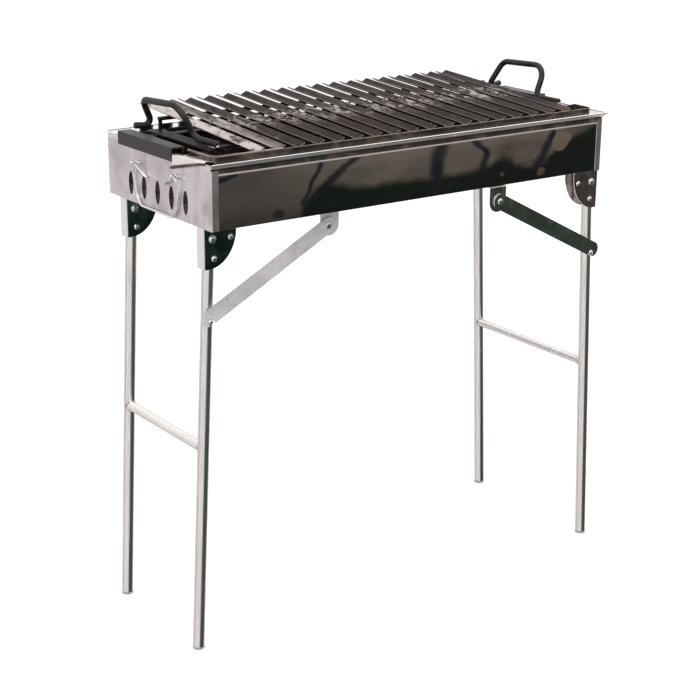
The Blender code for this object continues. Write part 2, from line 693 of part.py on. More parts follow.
# back rail section: Y, Z
BACK_RAIL = [(84.0, RAIL_TOP), (101.0, RAIL_TOP), (101.0, 742.0), (99.0, 742.0),
             (99.0, 755.0), (84.0, 755.0)]
TROUGH_X0, TROUGH_X1 = -369.0, 356.0
TROUGH_Y0, TROUGH_Y1 = -147.0, -60.0
TROUGH_Z0, TROUGH_Z1 = 742.0, 768.0
TROUGH_T, TROUGH_CORNER = 1.2, 12.0
STEP_Y, STEP_Z = TROUGH_Y1 - 13.0, 757.0       # the back wall is cut down to STEP_Z
STRAP_X = {"left": (-325.0, -301.0), "right": (329.0, 351.0)}
STRAP_Y0, STRAP_Y1, STRAP_TOP = -66.0, 118.0, 760.0

grate_lift = pivot("grate_lift", (0, 0, BAR_Z0))
ON_LIFT = dict(origin=(0, 0, BAR_Z0), parent=grate_lift)


def end_bar(s, y0, y1):
    return outline([(s * x, z) for x, z in END_BAR], y1 - y0, in_xz((y0 + y1) / 2))


def trough_block(inset, depth, middle_z):
    loop = round_rect(TROUGH_X0 + inset, TROUGH_X1 - inset, TROUGH_Y0 + inset,
                      TROUGH_Y1 - inset, TROUGH_CORNER - inset)
    return outline(loop, depth, in_xy(middle_z))


def drip_trough():
    body = trough_block(0.0, TROUGH_Z1 - TROUGH_Z0, (TROUGH_Z0 + TROUGH_Z1) / 2)
    hollow_depth = 30.0        # reaches past the top
    hollow = trough_block(TROUGH_T, hollow_depth, TROUGH_Z0 + TROUGH_T + hollow_depth / 2)
    step = box(TROUGH_X0 - 5, TROUGH_X1 + 5, STEP_Y, TROUGH_Y1 + 5, STEP_Z, TROUGH_Z1 + 7)
    return cut(cut(body, hollow), step)


for side, s in SIDES:
    add("frame_bar_" + side, end_bar(s, END_BAR_Y0[side], END_BAR_Y1), BLACK, **ON_LIFT)
    strap = box(*STRAP_X[side], STRAP_Y0, STRAP_Y1, RAIL_TOP + GAP, STRAP_TOP)
    add("grate_side_strap_" + side, strap, BLACK, **ON_LIFT)
add("frame_back_rail", outline(BACK_RAIL, 2 * (HALF_L - SHEET - 3.0), in_yz(0)), BLACK,
    **ON_LIFT)
add("drip_trough", drip_trough(), BLACK, **ON_LIFT)

# ---- V bars, their two cross rods and rear posts ---------------------------------
BAR_COUNT, BAR_X0, BAR_PITCH = 18, -288.0, 34.8
BAR_HALF, BAR_DEPTH, BAR_T = 11.5, 5.5, 1.6
BAR_TILT = math.atan2(BAR_DEPTH, BAR_HALF)     # slope of each flange
BAR_KEEL = BAR_DEPTH + BAR_T / math.cos(BAR_TILT)      # top edge to the bottom of the V
ROD_R, ROD_BITE = 3.2, 1.2     # cross rods rise this far into the bars
ROD_X0, ROD_X1 = -314.0, 341.0
FRONT_ROD_Y, REAR_ROD_Y = -78.0, 110.0
POST_X = {"left": -305.5, "right": 333.0}
POST_HALF_X, POST_HALF_Y = 3.0, 1.5


def bar_z(y):
    """Height of the bars' top edges, which rise towards the back."""
    return BAR_Z0 + (y - BAR_Y0) / (BAR_Y1 - BAR_Y0) * (BAR_Z1 - BAR_Z0)


def rod_z(y):
    return bar_z(y) - BAR_KEEL - ROD_R + ROD_BITE


def v_bar(x):
    edge_x, edge_z = BAR_T * math.sin(BAR_TILT), BAR_T * math.cos(BAR_TILT)
    loop = [(x - BAR_HALF - edge_x, -edge_z), (x, -BAR_KEEL),
            (x + BAR_HALF + edge_x, -edge_z), (x + BAR_HALF, 0.0),
            (x, -BAR_DEPTH), (x - BAR_HALF, 0.0)]
    mesh = outline(loop, BAR_Y1 - BAR_Y0, in_xz(0))
    for v in mesh.vertices:
        y = v.co.y + (BAR_Y0 + BAR_Y1) / 2
        v.co.y = y
        v.co.z += bar_z(y)
    return mesh


def v_bars():
    bars = join([v_bar(BAR_X0 + BAR_PITCH * i) for i in range(BAR_COUNT)])
    rods = [rod((ROD_X0, y, rod_z(y)), (ROD_X1, y, rod_z(y)), ROD_R, seg=8)
            for y in (FRONT_ROD_Y, REAR_ROD_Y)]
    return union(bars, *rods)


def rear_post(x):
    """Short post that carries the rear cross rod on a side strap."""
    return box(x - POST_HALF_X, x + POST_HALF_X,
               REAR_ROD_Y - POST_HALF_Y, REAR_ROD_Y + POST_HALF_Y,
               STRAP_TOP + GAP, rod_z(REAR_ROD_Y) - ROD_R - GAP)


add("grate_v_bars", v_bars(), CHAR, **ON_LIFT)
for side, x in POST_X.items():
    add("grate_post_" + side, rear_post(x), BLACK, **ON_LIFT)

# ---- lifting handles ---------------------------------------------------------------
HANDLE_R, HANDLE_BEND = 5.0, 16.0
# round-bar hoops leaning outwards, X, Y, Z from back to front: the rear foot is
# turned out, the front foot runs along the strap
HANDLES = {
    "left": [(-350.0, 108.5, 771.0), (-317.0, 112.5, 767.5), (-338.0, 105.0, 810.0),
             (-339.5, -8.0, 817.0), (-317.5, -12.0, 767.5), (-313.0, -72.0, 767.0)],
    "right": [(377.0, 110.0, 772.0), (346.0, 105.5, 768.0), (367.0, 90.0, 813.0),
              (369.0, -15.0, 818.0), (347.0, -17.0, 768.0), (347.0, -75.0, 768.0)],
}
for side, points in HANDLES.items():
    add("lifting_handle_" + side, wire(fillet(points, HANDLE_BEND), HANDLE_R), BLACK,
        origin=points[1], parent=grate_lift, smooth=50)

# ---- centre the footprint, front rim to the bars' back ends, on the origin -------
FOOTPRINT_Y = (BAR_Y1 - HALF_D - max(out for out, z in RIM)) / 2
for ob in PARTS.objects:
    if ob.parent is None:
        ob.location.y -= FOOTPRINT_Y * MM

bpy.context.view_layer.update()
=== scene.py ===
import json
import math
import random

import bpy
import bmesh
from mathutils import Matrix, Vector, noise


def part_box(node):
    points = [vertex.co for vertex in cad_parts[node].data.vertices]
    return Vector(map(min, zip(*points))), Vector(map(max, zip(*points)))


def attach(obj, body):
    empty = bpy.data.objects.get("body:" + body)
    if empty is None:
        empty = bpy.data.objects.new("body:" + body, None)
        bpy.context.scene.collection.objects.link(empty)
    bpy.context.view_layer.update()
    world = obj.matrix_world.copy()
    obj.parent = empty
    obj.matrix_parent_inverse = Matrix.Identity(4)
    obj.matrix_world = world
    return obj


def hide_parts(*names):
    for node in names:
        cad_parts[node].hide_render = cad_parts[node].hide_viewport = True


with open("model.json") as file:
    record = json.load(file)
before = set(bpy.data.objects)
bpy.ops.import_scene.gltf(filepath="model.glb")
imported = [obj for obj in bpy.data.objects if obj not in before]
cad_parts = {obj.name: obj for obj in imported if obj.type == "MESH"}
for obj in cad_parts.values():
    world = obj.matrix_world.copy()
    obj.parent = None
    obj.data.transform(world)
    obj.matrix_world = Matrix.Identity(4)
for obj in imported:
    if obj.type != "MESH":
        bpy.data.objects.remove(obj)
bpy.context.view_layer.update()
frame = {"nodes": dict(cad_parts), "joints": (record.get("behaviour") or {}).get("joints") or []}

RND = random.Random(7)


# the fire box is drawn about y = 0 here; the frame's origin lies SY mm behind its middle
SY = -500.0 * (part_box("front_panel")[0][1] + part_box("back_panel")[1][1])


def B(node):
    lo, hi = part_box(node)
    return [c * 1000 + o for c, o in zip(lo, (0, SY, 0))], [c * 1000 + o for c, o in zip(hi, (0, SY, 0))]


# ---------------------------------------------------------------- layout, mm, from the CAD
lo, hi = B("leg_bracket_left_front")
lo2, hi2 = B("left_end_panel")
Z0 = lo2[2]                                    # underside of the box
HX = -lo2[0] - 6.2                             # outer face of the end panels
HX = round(HX)
HY = 150.0
ZR = B("front_panel")[1][2] - 9.0              # where the rim starts, 750
T_LEG = (B("leg_tube_left_front")[1][1] + 0.0)
LEG_Y = {s: -(B("leg_plug_%s_front" % s)[0][1] + B("leg_plug_%s_front" % s)[1][1]) / 2 for s in ("left", "right")}
PIVOT_X, PIVOT_Z = 358.0, 645.0
for j in frame["joints"]:
    if j["name"] == "right_leg_fold":
        PIVOT_X, PIVOT_Z = j["pos_m"][0] * 1000, j["pos_m"][2] * 1000
    if j["name"] == "right_stay_lift":
        STAY_PX, STAY_PZ = j["pos_m"][0] * 1000, j["pos_m"][2] * 1000
TAN = math.tan(math.radians(2.8))
TUBE_R, TUBE_W, CROSS_R = 9.0, 1.2, 8.0
CROSS_Z = (B("cross_bar_left")[0][2] + B("cross_bar_left")[1][2]) / 2
STUD_Z = (B("hook_stud_left")[0][2] + B("hook_stud_left")[1][2]) / 2
BAIL_Y, BAIL_Z, EYE_X = 58.0, 725.5, 382.2


def leg_x(s, z):
    return s * (PIVOT_X + (PIVOT_Z - z) * TAN)


# ---------------------------------------------------------------- mesh helpers (work in mm)
def corner(a, b, c, r, seg):
    u, w = (a - b), (c - b)
    lu, lw = u.length, w.length
    if r <= 0 or lu < 1e-6 or lw < 1e-6:
        return [b]
    u, w = u / lu, w / lw
    ang = math.acos(max(-1, min(1, u.dot(w))))
    if ang > math.pi - 0.02 or ang < 0.02:
        return [b]
    t = min(r / math.tan(ang / 2), 0.48 * lu, 0.48 * lw)
    rr = t * math.tan(ang / 2)
    cen = b + (u + w).normalized() * (rr / math.sin(ang / 2))
    v0, v1 = b + u * t - cen, b + w * t - cen
    tot = math.pi - ang
    out = []
    for i in range(seg + 1):
        k = i / seg
        out.append(cen + (v0 * math.sin((1 - k) * tot) + v1 * math.sin(k * tot)) / math.sin(tot))
    return out


def rounded(pts, radii, seg=5, closed=True):
    P = [Vector(p) for p in pts]
    n = len(P)
    if isinstance(radii, (int, float)):
        radii = [radii] * n
    out = []
    for i in range(n):
        if not closed and i in (0, n - 1):
            out.append(P[i])
            continue
        out += corner(P[i - 1], P[i], P[(i + 1) % n], radii[i], seg)
    return out


def axes(u, v, w, at=(0, 0, 0)):
    m = Matrix((u, v, w)).transposed().to_4x4()
    m.translation = Vector(at)
    return m


def XZ(y=0.0):
    return axes((1, 0, 0), (0, 0, 1), (0, -1, 0), (0, y, 0))


def YZ(x=0.0):
    return axes((0, 1, 0), (0, 0, 1), (1, 0, 0), (x, 0, 0))


def XY(z=0.0):
    return axes((1, 0, 0), (0, 1, 0), (0, 0, 1), (0, 0, z))


def to_mesh(bm, weld=1e-3):
    if weld:
        bmesh.ops.remove_doubles(bm, verts=bm.verts, dist=weld)
    bmesh.ops.recalc_face_normals(bm, faces=bm.faces)
    me = bpy.data.meshes.new("m")
    bm.to_mesh(me)
    bm.free()
    return me


def prism(loop, a, b, M, cuts=1, fn=None):
    """Closed 2D loop swept along local Z from a to b. fn(co) may move points afterwards."""
    bm = bmesh.new()
    rings = []
    for k in range(cuts + 1):
        z = a + (b - a) * k / cuts
        rings.append([bm.verts.new((p[0], p[1], z)) for p in loop])
    n = len(loop)
    for r0, r1 in zip(rings, rings[1:]):
        for i in range(n):
            bm.faces.new((r0[i], r0[(i + 1) % n], r1[(i + 1) % n], r1[i]))
    bm.faces.new(rings[0][::-1])
    bm.faces.new(rings[-1])
    bmesh.ops.transform(bm, matrix=M, verts=bm.verts)
    if fn:
        for v in bm.verts:
            v.co = fn(v.co.copy())
    return to_mesh(bm)


def plate(loops, t, M, bev=0.3, res=1):
    """Flat plate with holes and softened edges."""
    cu = bpy.data.curves.new("c", "CURVE")
    cu.dimensions = "2D"
    cu.fill_mode = "BOTH"
    cu.extrude = t / 2 - bev
    cu.bevel_depth = bev
    cu.bevel_resolution = res
    cu.offset = -bev
    for loop in loops:
        sp = cu.splines.new("POLY")
        sp.points.add(len(loop) - 1)
        for p, q in zip(sp.points, loop):
            p.co = (q[0], q[1], 0.0, 1.0)
        sp.use_cyclic_u = True
    ob = bpy.data.objects.new("c", cu)
    bpy.context.scene.collection.objects.link(ob)
    me = evaluated(ob)
    bpy.data.objects.remove(ob, do_unlink=True)
    bm = bmesh.new()
    bm.from_mesh(me)
    bmesh.ops.transform(bm, matrix=M, verts=bm.verts)
    return to_mesh(bm, 1e-4)


def evaluated(ob):
    bpy.context.view_layer.update()
    dg = bpy.context.evaluated_depsgraph_get()
    return bpy.data.meshes.new_from_object(ob.evaluated_get(dg))


def lathe(profile, at, direction, seg=32, closed=False):
    """Turned body from (radius, height) pairs; closed=True joins the last point to the first."""
    bm = bmesh.new()
    rings = []
    for r, h in profile:
        if r < 1e-6:
            rings.append([bm.verts.new((0, 0, h))])
        else:
            rings.append([bm.verts.new((r * math.cos(2 * math.pi * i / seg), r * math.sin(2 * math.pi * i / seg), h))
                          for i in range(seg)])
    pairs = list(zip(rings, rings[1:]))
    if closed:
        pairs.append((rings[-1], rings[0]))
    for a, b in pairs:
        for i in range(seg):
            j = (i + 1) % seg
            if len(a) == 1 and len(b) == 1:
                continue
            if len(a) == 1:
                bm.faces.new((a[0], b[j], b[i]))
            elif len(b) == 1:
                bm.faces.new((a[i], a[j], b[0]))
            else:
                bm.faces.new((a[i], a[j], b[j], b[i]))
    M = Matrix.Translation(Vector(at)) @ Vector(direction).to_track_quat("Z", "Y").to_matrix().to_4x4()
    bmesh.ops.transform(bm, matrix=M, verts=bm.verts)
    return to_mesh(bm, 1e-4)


def dome(r, h, n=7):
    return [(r * math.sin(math.pi / 2 * i / n), h * math.cos(math.pi / 2 * i / n)) for i in range(n + 1)]


def sweep(points, radii, seg=16, caps=True, closed=False, squash=None):
    """Round rod through 3D points with a radius at each, framed by parallel transport."""
    P = [Vector(p) for p in points]
    n = len(P)
    if isinstance(radii, (int, float)):
        radii = [radii] * n
    T = []
    for i in range(n):
        a = P[i - 1] if (i > 0 or closed) else P[i]
        b = P[(i + 1) % n] if (i < n - 1 or closed) else P[i]
        T.append((b - a).normalized())
    ref = Vector((0, 0, 1)) if abs(T[0].z) < 0.9 else Vector((0, 1, 0))
    N = (ref - T[0] * ref.dot(T[0])).normalized()
    bm = bmesh.new()
    rings = []
    for i in range(n):
        N = (N - T[i] * N.dot(T[i])).normalized()
        Bv = T[i].cross(N)
        ring = []
        for k in range(seg):
            a = 2 * math.pi * k / seg
            ring.append(bm.verts.new(P[i] + (N * math.cos(a) + Bv * math.sin(a)) * radii[i]))
        rings.append(ring)
    m = n if closed else n - 1
    for i in range(m):
        r0, r1 = rings[i], rings[(i + 1) % n]
        for k in range(seg):
            bm.faces.new((r0[k], r0[(k + 1) % seg], r1[(k + 1) % seg], r1[k]))
    if caps and not closed:
        bm.faces.new(rings[0][::-1])
        bm.faces.new(rings[-1])
    return to_mesh(bm, 0)


def rod_ends(pts, r, ch=0.8):
    """Adds a small chamfer at both ends of a rod's path."""
    P = [Vector(p) for p in pts]
    d0, d1 = (P[1] - P[0]).normalized(), (P[-2] - P[-1]).normalized()
    pts2 = [P[0], P[0] + d0 * ch] + P[1:-1] + [P[-1] + d1 * ch, P[-1]]
    return pts2, [r - ch] + [r] * (len(pts2) - 2) + [r - ch]


def boolean(a_me, b_me, op):
    a = bpy.data.objects.new("a", a_me)
    b = bpy.data.objects.new("b", b_me)
    for o in (a, b):
        bpy.context.scene.collection.objects.link(o)
    m = a.modifiers.new("b", "BOOLEAN")
    m.operation, m.object, m.solver = op, b, "EXACT"
    out = evaluated(a)
    for o in (a, b):
        bpy.data.objects.remove(o, do_unlink=True)
    bm = bmesh.new()
    bm.from_mesh(out)
    bmesh.ops.dissolve_degenerate(bm, edges=bm.edges, dist=1e-3)
    return to_mesh(bm, 1e-3)


def joined(meshes):
    bm = bmesh.new()
    for me in meshes:
        bm.from_mesh(me)
    me = bpy.data.meshes.new("j")
    bm.to_mesh(me)
    bm.free()
    return me


def mirrored(me):
    bm = bmesh.new()
    bm.from_mesh(me)
    bmesh.ops.scale(bm, vec=(-1, 1, 1), verts=bm.verts)
    bmesh.ops.reverse_faces(bm, faces=bm.faces)
    out = bpy.data.meshes.new("mm")
    bm.to_mesh(out)
    bm.free()
    return out


OPEN = []


def put(name, me, mat, body, slot, *nodes, sharp=32, weighted=True):
    bm = bmesh.new()
    bm.from_mesh(me)
    if any(not e.is_manifold for e in bm.edges):
        OPEN.append((name, sum(not e.is_manifold for e in bm.edges)))
    bm.free()
    me.transform(Matrix.Scale(0.001, 4) @ Matrix.Translation((0.0, -SY, 0.0)))
    me.name = name
    ob = bpy.data.objects.new(name, me)
    bpy.context.scene.collection.objects.link(ob)
    me.materials.clear()
    me.materials.append(mat)
    me.shade_smooth()
    me.set_sharp_from_angle(angle=math.radians(sharp))
    if weighted:
        w = ob.modifiers.new("wn", "WEIGHTED_NORMAL")
        w.keep_sharp = True
        w.weight = 80
    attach(ob, body)
    if nodes:
        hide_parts(*nodes)
    return ob


def circle(cx, cy, r, n=32):
    return [(cx + r * math.cos(2 * math.pi * i / n), cy + r * math.sin(2 * math.pi * i / n)) for i in range(n)]


def ellipse(cx, cy, a, b, n=48):
    return [(cx + a * math.cos(2 * math.pi * i / n), cy + b * math.sin(2 * math.pi * i / n)) for i in range(n)]


# ================================================================ materials
class G:
    """Small helper to write node graphs."""

    def __init__(self, name):
        self.m = bpy.data.materials.new(name)
        self.m.use_nodes = True
        self.t = self.m.node_tree
        self.b = self.t.nodes["Principled BSDF"]
        self.out = self.t.nodes["Material Output"]
        tc = self.t.nodes.new("ShaderNodeTexCoord")
        self.obj = tc.outputs["Object"]
        sc = self.t.nodes.new("ShaderNodeVectorMath")
        sc.operation = "SCALE"
        sc.inputs["Scale"].default_value = 1000.0
        self.link(self.obj, sc.inputs[0])
        ad = self.t.nodes.new("ShaderNodeVectorMath")
        ad.operation = "ADD"
        ad.inputs[1].default_value = (0.0, SY, 0.0)
        self.link(sc.outputs[0], ad.inputs[0])
        self.mm = ad.outputs[0]
        sp = self.t.nodes.new("ShaderNodeSeparateXYZ")
        self.link(self.mm, sp.inputs[0])
        self.x, self.y, self.z = sp.outputs[0], sp.outputs[1], sp.outputs[2]

    def link(self, a, b):
        self.t.links.new(a, b)

    def set(self, inp, v):
        if hasattr(v, "is_output") or isinstance(v, bpy.types.NodeSocket):
            self.link(v, inp)
        elif isinstance(v, (tuple, list)):
            inp.default_value = tuple(v) + (1.0,) if (len(v) == 3 and len(inp.default_value) == 4) else tuple(v)
        else:
            inp.default_value = v

    def math(self, op, a, b=None, c=None, clamp=False):
        n = self.t.nodes.new("ShaderNodeMath")
        n.operation = op
        n.use_clamp = clamp
        self.set(n.inputs[0], a)
        if b is not None:
            self.set(n.inputs[1], b)
        if c is not None:
            self.set(n.inputs[2], c)
        return n.outputs[0]

    def vec(self, op, a, b=None, s=None):
        n = self.t.nodes.new("ShaderNodeVectorMath")
        n.operation = op
        self.set(n.inputs[0], a)
        if b is not None:
            self.set(n.inputs[1], b)
        if s is not None:
            self.set(n.inputs["Scale"], s)
        return n.outputs["Value"] if op in ("LENGTH", "DOT_PRODUCT", "DISTANCE") else n.outputs[0]

    def comb(self, x, y, z):
        n = self.t.nodes.new("ShaderNodeCombineXYZ")
        for i, v in zip(n.inputs, (x, y, z)):
            self.set(i, v)
        return n.outputs[0]

    def noise(self, freq, detail=3.0, rough=0.5, dist=0.0, seed=0.0, coord=None):
        """freq is cycles per mm along x, y, z."""
        v = self.vec("MULTIPLY", coord or self.mm, tuple(freq))
        v = self.vec("ADD", v, (seed, seed * 1.7, seed * 0.6))
        n = self.t.nodes.new("ShaderNodeTexNoise")
        n.inputs["Scale"].default_value = 1.0
        n.inputs["Detail"].default_value = detail
        n.inputs["Roughness"].default_value = rough
        n.inputs["Distortion"].default_value = dist
        self.link(v, n.inputs["Vector"])
        return n.outputs["Fac"]

    def voronoi(self, freq, feature="F1", seed=0.0):
        v = self.vec("MULTIPLY", self.mm, tuple(freq))
        v = self.vec("ADD", v, (seed, seed, seed))
        n = self.t.nodes.new("ShaderNodeTexVoronoi")
        n.feature = feature
        n.inputs["Scale"].default_value = 1.0
        self.link(v, n.inputs["Vector"])
        return n.outputs["Distance"]

    def step(self, v, a, b):
        n = self.t.nodes.new("ShaderNodeMapRange")
        n.interpolation_type = "SMOOTHSTEP"
        self.set(n.inputs["Value"], v)
        n.inputs["From Min"].default_value = a
        n.inputs["From Max"].default_value = b
        n.inputs["To Min"].default_value = 0.0
        n.inputs["To Max"].default_value = 1.0
        return n.outputs["Result"]

    def rng(self, v, a, b, c, d):
        n = self.t.nodes.new("ShaderNodeMapRange")
        self.set(n.inputs["Value"], v)
        for k, w in zip(("From Min", "From Max", "To Min", "To Max"), (a, b, c, d)):
            n.inputs[k].default_value = w
        return n.outputs["Result"]

    def ramp(self, fac, stops, interp="LINEAR"):
        n = self.t.nodes.new("ShaderNodeValToRGB")
        n.color_ramp.interpolation = interp
        e = n.color_ramp.elements
        while len(e) > 1:
            e.remove(e[0])
        e[0].position, e[0].color = stops[0][0], tuple(stops[0][1]) + (1.0,)
        for p, c in stops[1:]:
            q = e.new(p)
            q.color = tuple(c) + (1.0,)
        self.set(n.inputs[0], fac)
        return n.outputs[0]

    def mix(self, fac, a, b, mode="MIX"):
        n = self.t.nodes.new("ShaderNodeMix")
        n.data_type = "RGBA"
        n.blend_type = mode
        n.clamp_factor = True
        self.set(n.inputs[0], fac)
        self.set(n.inputs[6], a)
        self.set(n.inputs[7], b)
        return n.outputs[2]

    def curve(self, v, pts):
        n = self.t.nodes.new("ShaderNodeFloatCurve")
        c = n.mapping.curves[0]
        while len(c.points) > 2:
            c.points.remove(c.points[1])
        c.points[0].location = pts[0]
        c.points[1].location = pts[-1]
        for p in pts[1:-1]:
            c.points.new(*p)
        n.mapping.update()
        self.set(n.inputs["Value"], v)
        return n.outputs[0]

    def bump(self, h, strength, dist=0.001, normal=None):
        n = self.t.nodes.new("ShaderNodeBump")
        n.inputs["Strength"].default_value = strength
        n.inputs["Distance"].default_value = dist
        self.set(n.inputs["Height"], h)
        if normal is not None:
            self.link(normal, n.inputs["Normal"])
        return n.outputs[0]

    def done(self, color, rough, metal, normal=None, spec=None):
        self.set(self.b.inputs["Base Color"], color)
        self.set(self.b.inputs["Roughness"], rough)
        self.set(self.b.inputs["Metallic"], metal)
        if normal is not None:
            self.link(normal, self.b.inputs["Normal"])
        if spec is not None:
            self.b.inputs["Specular IOR Level"].default_value = spec
        return self.m

    def inside_box(self):
        """1 on faces that look into the fire box, 0 outside."""
        ax = self.math("ABSOLUTE", self.x)
        ay = self.math("ABSOLUTE", self.y)
        fx = self.math("LESS_THAN", ax, HX - 0.5)
        fy = self.math("LESS_THAN", ay, HY - 0.5)
        fz = self.math("GREATER_THAN", self.z, Z0 + 0.5)
        return self.math("MULTIPLY", self.math("MULTIPLY", fx, fy), fz)

    def facing_photo(self):
        """1 for a surface seen from near the left-front viewpoint, fading to 0 from other sides."""
        g = self.t.nodes.new("ShaderNodeNewGeometry")
        d = self.vec("DOT_PRODUCT", g.outputs["Incoming"], (-0.56, -0.77, 0.30))
        return self.step(d, 0.80, 0.95)

    def seg(self, a, b):
        """Distance in the XZ plane from a point to the segment a-b (mm)."""
        p = self.p2
        ba = (b[0] - a[0], 0.0, b[1] - a[1])
        L2 = ba[0] ** 2 + ba[2] ** 2
        pa = self.vec("SUBTRACT", p, (a[0], 0.0, a[1]))
        t = self.math("DIVIDE", self.vec("DOT_PRODUCT", pa, ba), L2, clamp=True)
        q = self.vec("SCALE", ba, s=t)
        return self.vec("LENGTH", self.vec("SUBTRACT", pa, q))

    def disc(self, c, rx, rz):
        p = self.vec("SUBTRACT", self.p2, (c[0], 0.0, c[1]))
        p = self.vec("MULTIPLY", p, (1.0 / rx, 0.0, 1.0 / rz))
        return self.vec("LENGTH", p)


def scratches(g, along, amount=0.15, seed=0.0):
    """Fine polishing lines along an axis ('x', 'y' or 'z'), as a height."""
    f = {"x": (0.02, 3.5, 3.5), "y": (3.5, 0.02, 3.5), "z": (3.5, 3.5, 0.02)}[along]
    return g.math("MULTIPLY", g.noise(f, 4.0, 0.6, 0.0, seed), amount)


def soot(g, color, rough, metal):
    """Burnt, oily inside of the fire box."""
    k = g.inside_box()
    n = g.noise((0.03, 0.03, 0.05), 5.0, 0.6, 0.3, 5.0)
    c = g.ramp(n, [(0.3, (0.012, 0.010, 0.009)), (0.55, (0.045, 0.032, 0.024)), (0.75, (0.16, 0.12, 0.09))])
    return g.mix(k, color, c), g.math("ADD", rough, g.math("MULTIPLY", k, 0.35)), \
        g.math("SUBTRACT", metal, g.math("MULTIPLY", k, 0.5))


def mat_front():
    """Mirror sheet of the long sides: wavy, with painted reflections of the dark surroundings in its colour."""
    g = G("mirror_sheet_front")
    wob = g.noise((0.012, 0.012, 0.02), 2.0, 0.5, 0.6, 3.0)
    wob2 = g.noise((0.03, 0.03, 0.045), 2.0, 0.5, 0.4, 9.0)
    dx = g.math("MULTIPLY", g.math("SUBTRACT", wob, 0.5), 34.0)
    dz = g.math("MULTIPLY", g.math("SUBTRACT", wob2, 0.5), 12.0)
    px = g.math("ADD", g.x, dx)
    pz = g.math("ADD", g.z, dz)
    g.p2 = g.comb(px, 0.0, pz)
    # painted reflection: a green hill of the surroundings low on the sheet, brownish grey above it
    s = g.math("DIVIDE", g.math("ADD", px, 375.0), 750.0, clamp=True)
    hill = g.curve(s, [(0.0, 0.0), (0.17, 0.03), (0.215, 0.30), (0.27, 0.52), (0.34, 0.42), (0.5, 0.37), (0.6, 0.36),
                       (0.67, 0.42), (0.715, 0.55), (0.76, 0.37), (0.81, 0.34), (0.865, 0.52), (0.92, 0.74), (1.0, 0.98)])
    zb = g.math("MULTIPLY_ADD", hill, 88.0, 660.0)
    m_hill = g.step(g.math("SUBTRACT", zb, pz), -9.0, 8.0)
    painted_green_reflection = g.mix(g.noise((0.02, 0.02, 0.05), 4.0, 0.6, 0.5, 1.0), (0.055, 0.072, 0.066), (0.10, 0.135, 0.115))
    base = g.ramp(g.noise((0.006, 0.006, 0.02), 4.0, 0.55, 0.6, 2.0),
                  [(0.3, (0.42, 0.39, 0.37)), (0.5, (0.78, 0.70, 0.65)), (0.7, (1.0, 0.91, 0.85))])
    # painted reflection: a lighter band below the rim
    top = g.step(g.z, 722.0, 738.0)
    base = g.mix(g.math("MULTIPLY", top, 0.4), base, (1.0, 0.97, 0.97))
    # painted reflection: the left third is darker, and darkens again towards the foot of the sheet
    left = g.step(g.x, -150.0, -330.0)
    base = g.mix(g.math("MULTIPLY", left, 0.62), base, (0.27, 0.265, 0.295), "MIX")
    # painted reflection: darker towards the right end
    deep = g.step(g.x, 250.0, 330.0)
    base = g.mix(g.math("MULTIPLY", deep, 0.5), base, (0.24, 0.20, 0.18))
    foot = g.step(g.z, 700.0, 668.0)
    base = g.mix(g.math("MULTIPLY", foot, 0.55), base, (0.20, 0.185, 0.165))
    col = g.mix(m_hill, base, painted_green_reflection)
    # painted reflection: dark bluish vertical strokes of the mirrored surroundings
    painted_dark_reflection = (0.10, 0.115, 0.16)
    for a, b, w in (((-186, 740), (-220, 684), 6.0), ((-128, 742), (-176, 706), 8.0), ((-176, 706), (-206, 682), 5.5),
                    ((32, 738), (26, 706), 16.0), ((26, 706), (34, 676), 12.0), ((98, 742), (122, 722), 7.0),
                    ((122, 722), (120, 694), 9.0), ((270, 741), (262, 730), 6.0), ((262, 730), (240, 690), 13.0),
                    ((-374, 736), (-332, 741), 4.5), ((-374, 731), (-358, 737), 5.0)):
        d = g.seg(a, b)
        col = g.mix(g.math("MULTIPLY", g.step(d, w * 1.25, w * 0.25), 0.92), col, painted_dark_reflection)
    # painted reflections: a dark blob, a beige glow near the right end, a small brown spot and a grey spot
    col = g.mix(g.math("MULTIPLY", g.step(g.disc((-262, 675), 13, 6), 1.2, 0.6), 0.75), col, (0.08, 0.08, 0.075))
    col = g.mix(g.math("MULTIPLY", g.step(g.disc((286, 722), 20, 15), 1.1, 0.93), 0.9), col, (0.98, 0.86, 0.70))
    col = g.mix(g.step(g.disc((246, 676), 7, 6), 1.3, 0.8), col, (0.55, 0.46, 0.34))
    col = g.mix(g.math("MULTIPLY", g.step(g.disc((162, 680), 5, 4), 1.4, 0.5), 0.6), col, (0.6, 0.62, 0.6))
    # painted reflection: a thin gold stroke
    gold_reflection_stroke = g.seg((-22, 736), (-27, 704))
    col = g.mix(g.math("MULTIPLY", g.step(gold_reflection_stroke, 1.4, 0.4), 0.6), col, (0.95, 0.55, 0.12))
    # above the bend the rolled rim mirrors other things, so the painting stops there
    m_rim = g.step(g.z, 740.2, 742.2)
    col = g.mix(m_rim, col, (0.93, 0.88, 0.88))
    # the painted reflections show only on the front sheet seen from near the left-front viewpoint; elsewhere the colour
    # is clean metal
    clean = (0.90, 0.885, 0.875)
    side = g.math("LESS_THAN", g.y, 0.0)
    col = g.mix(g.math("MULTIPLY", g.facing_photo(), side), clean, col)
    smear = g.noise((0.02, 0.02, 0.05), 5.0, 0.65, 1.0, 12.0)
    rough = g.rng(smear, 0.35, 0.75, 0.045, 0.15)
    col = g.mix(g.math("MULTIPLY", g.step(smear, 0.62, 0.75), 0.2), col, (0.62, 0.60, 0.58))
    h = g.math("MULTIPLY", g.noise((0.006, 0.006, 0.015), 1.5, 0.4, 0.3, 21.0), 2.2)
    n1 = g.bump(h, 0.35, 0.001)
    n2 = g.bump(scratches(g, "x", 1.0, 2.0), 0.02, 0.0002, n1)
    col, rough, metal = soot(g, col, rough, 1.0)
    return g.done(col, rough, metal, n2)


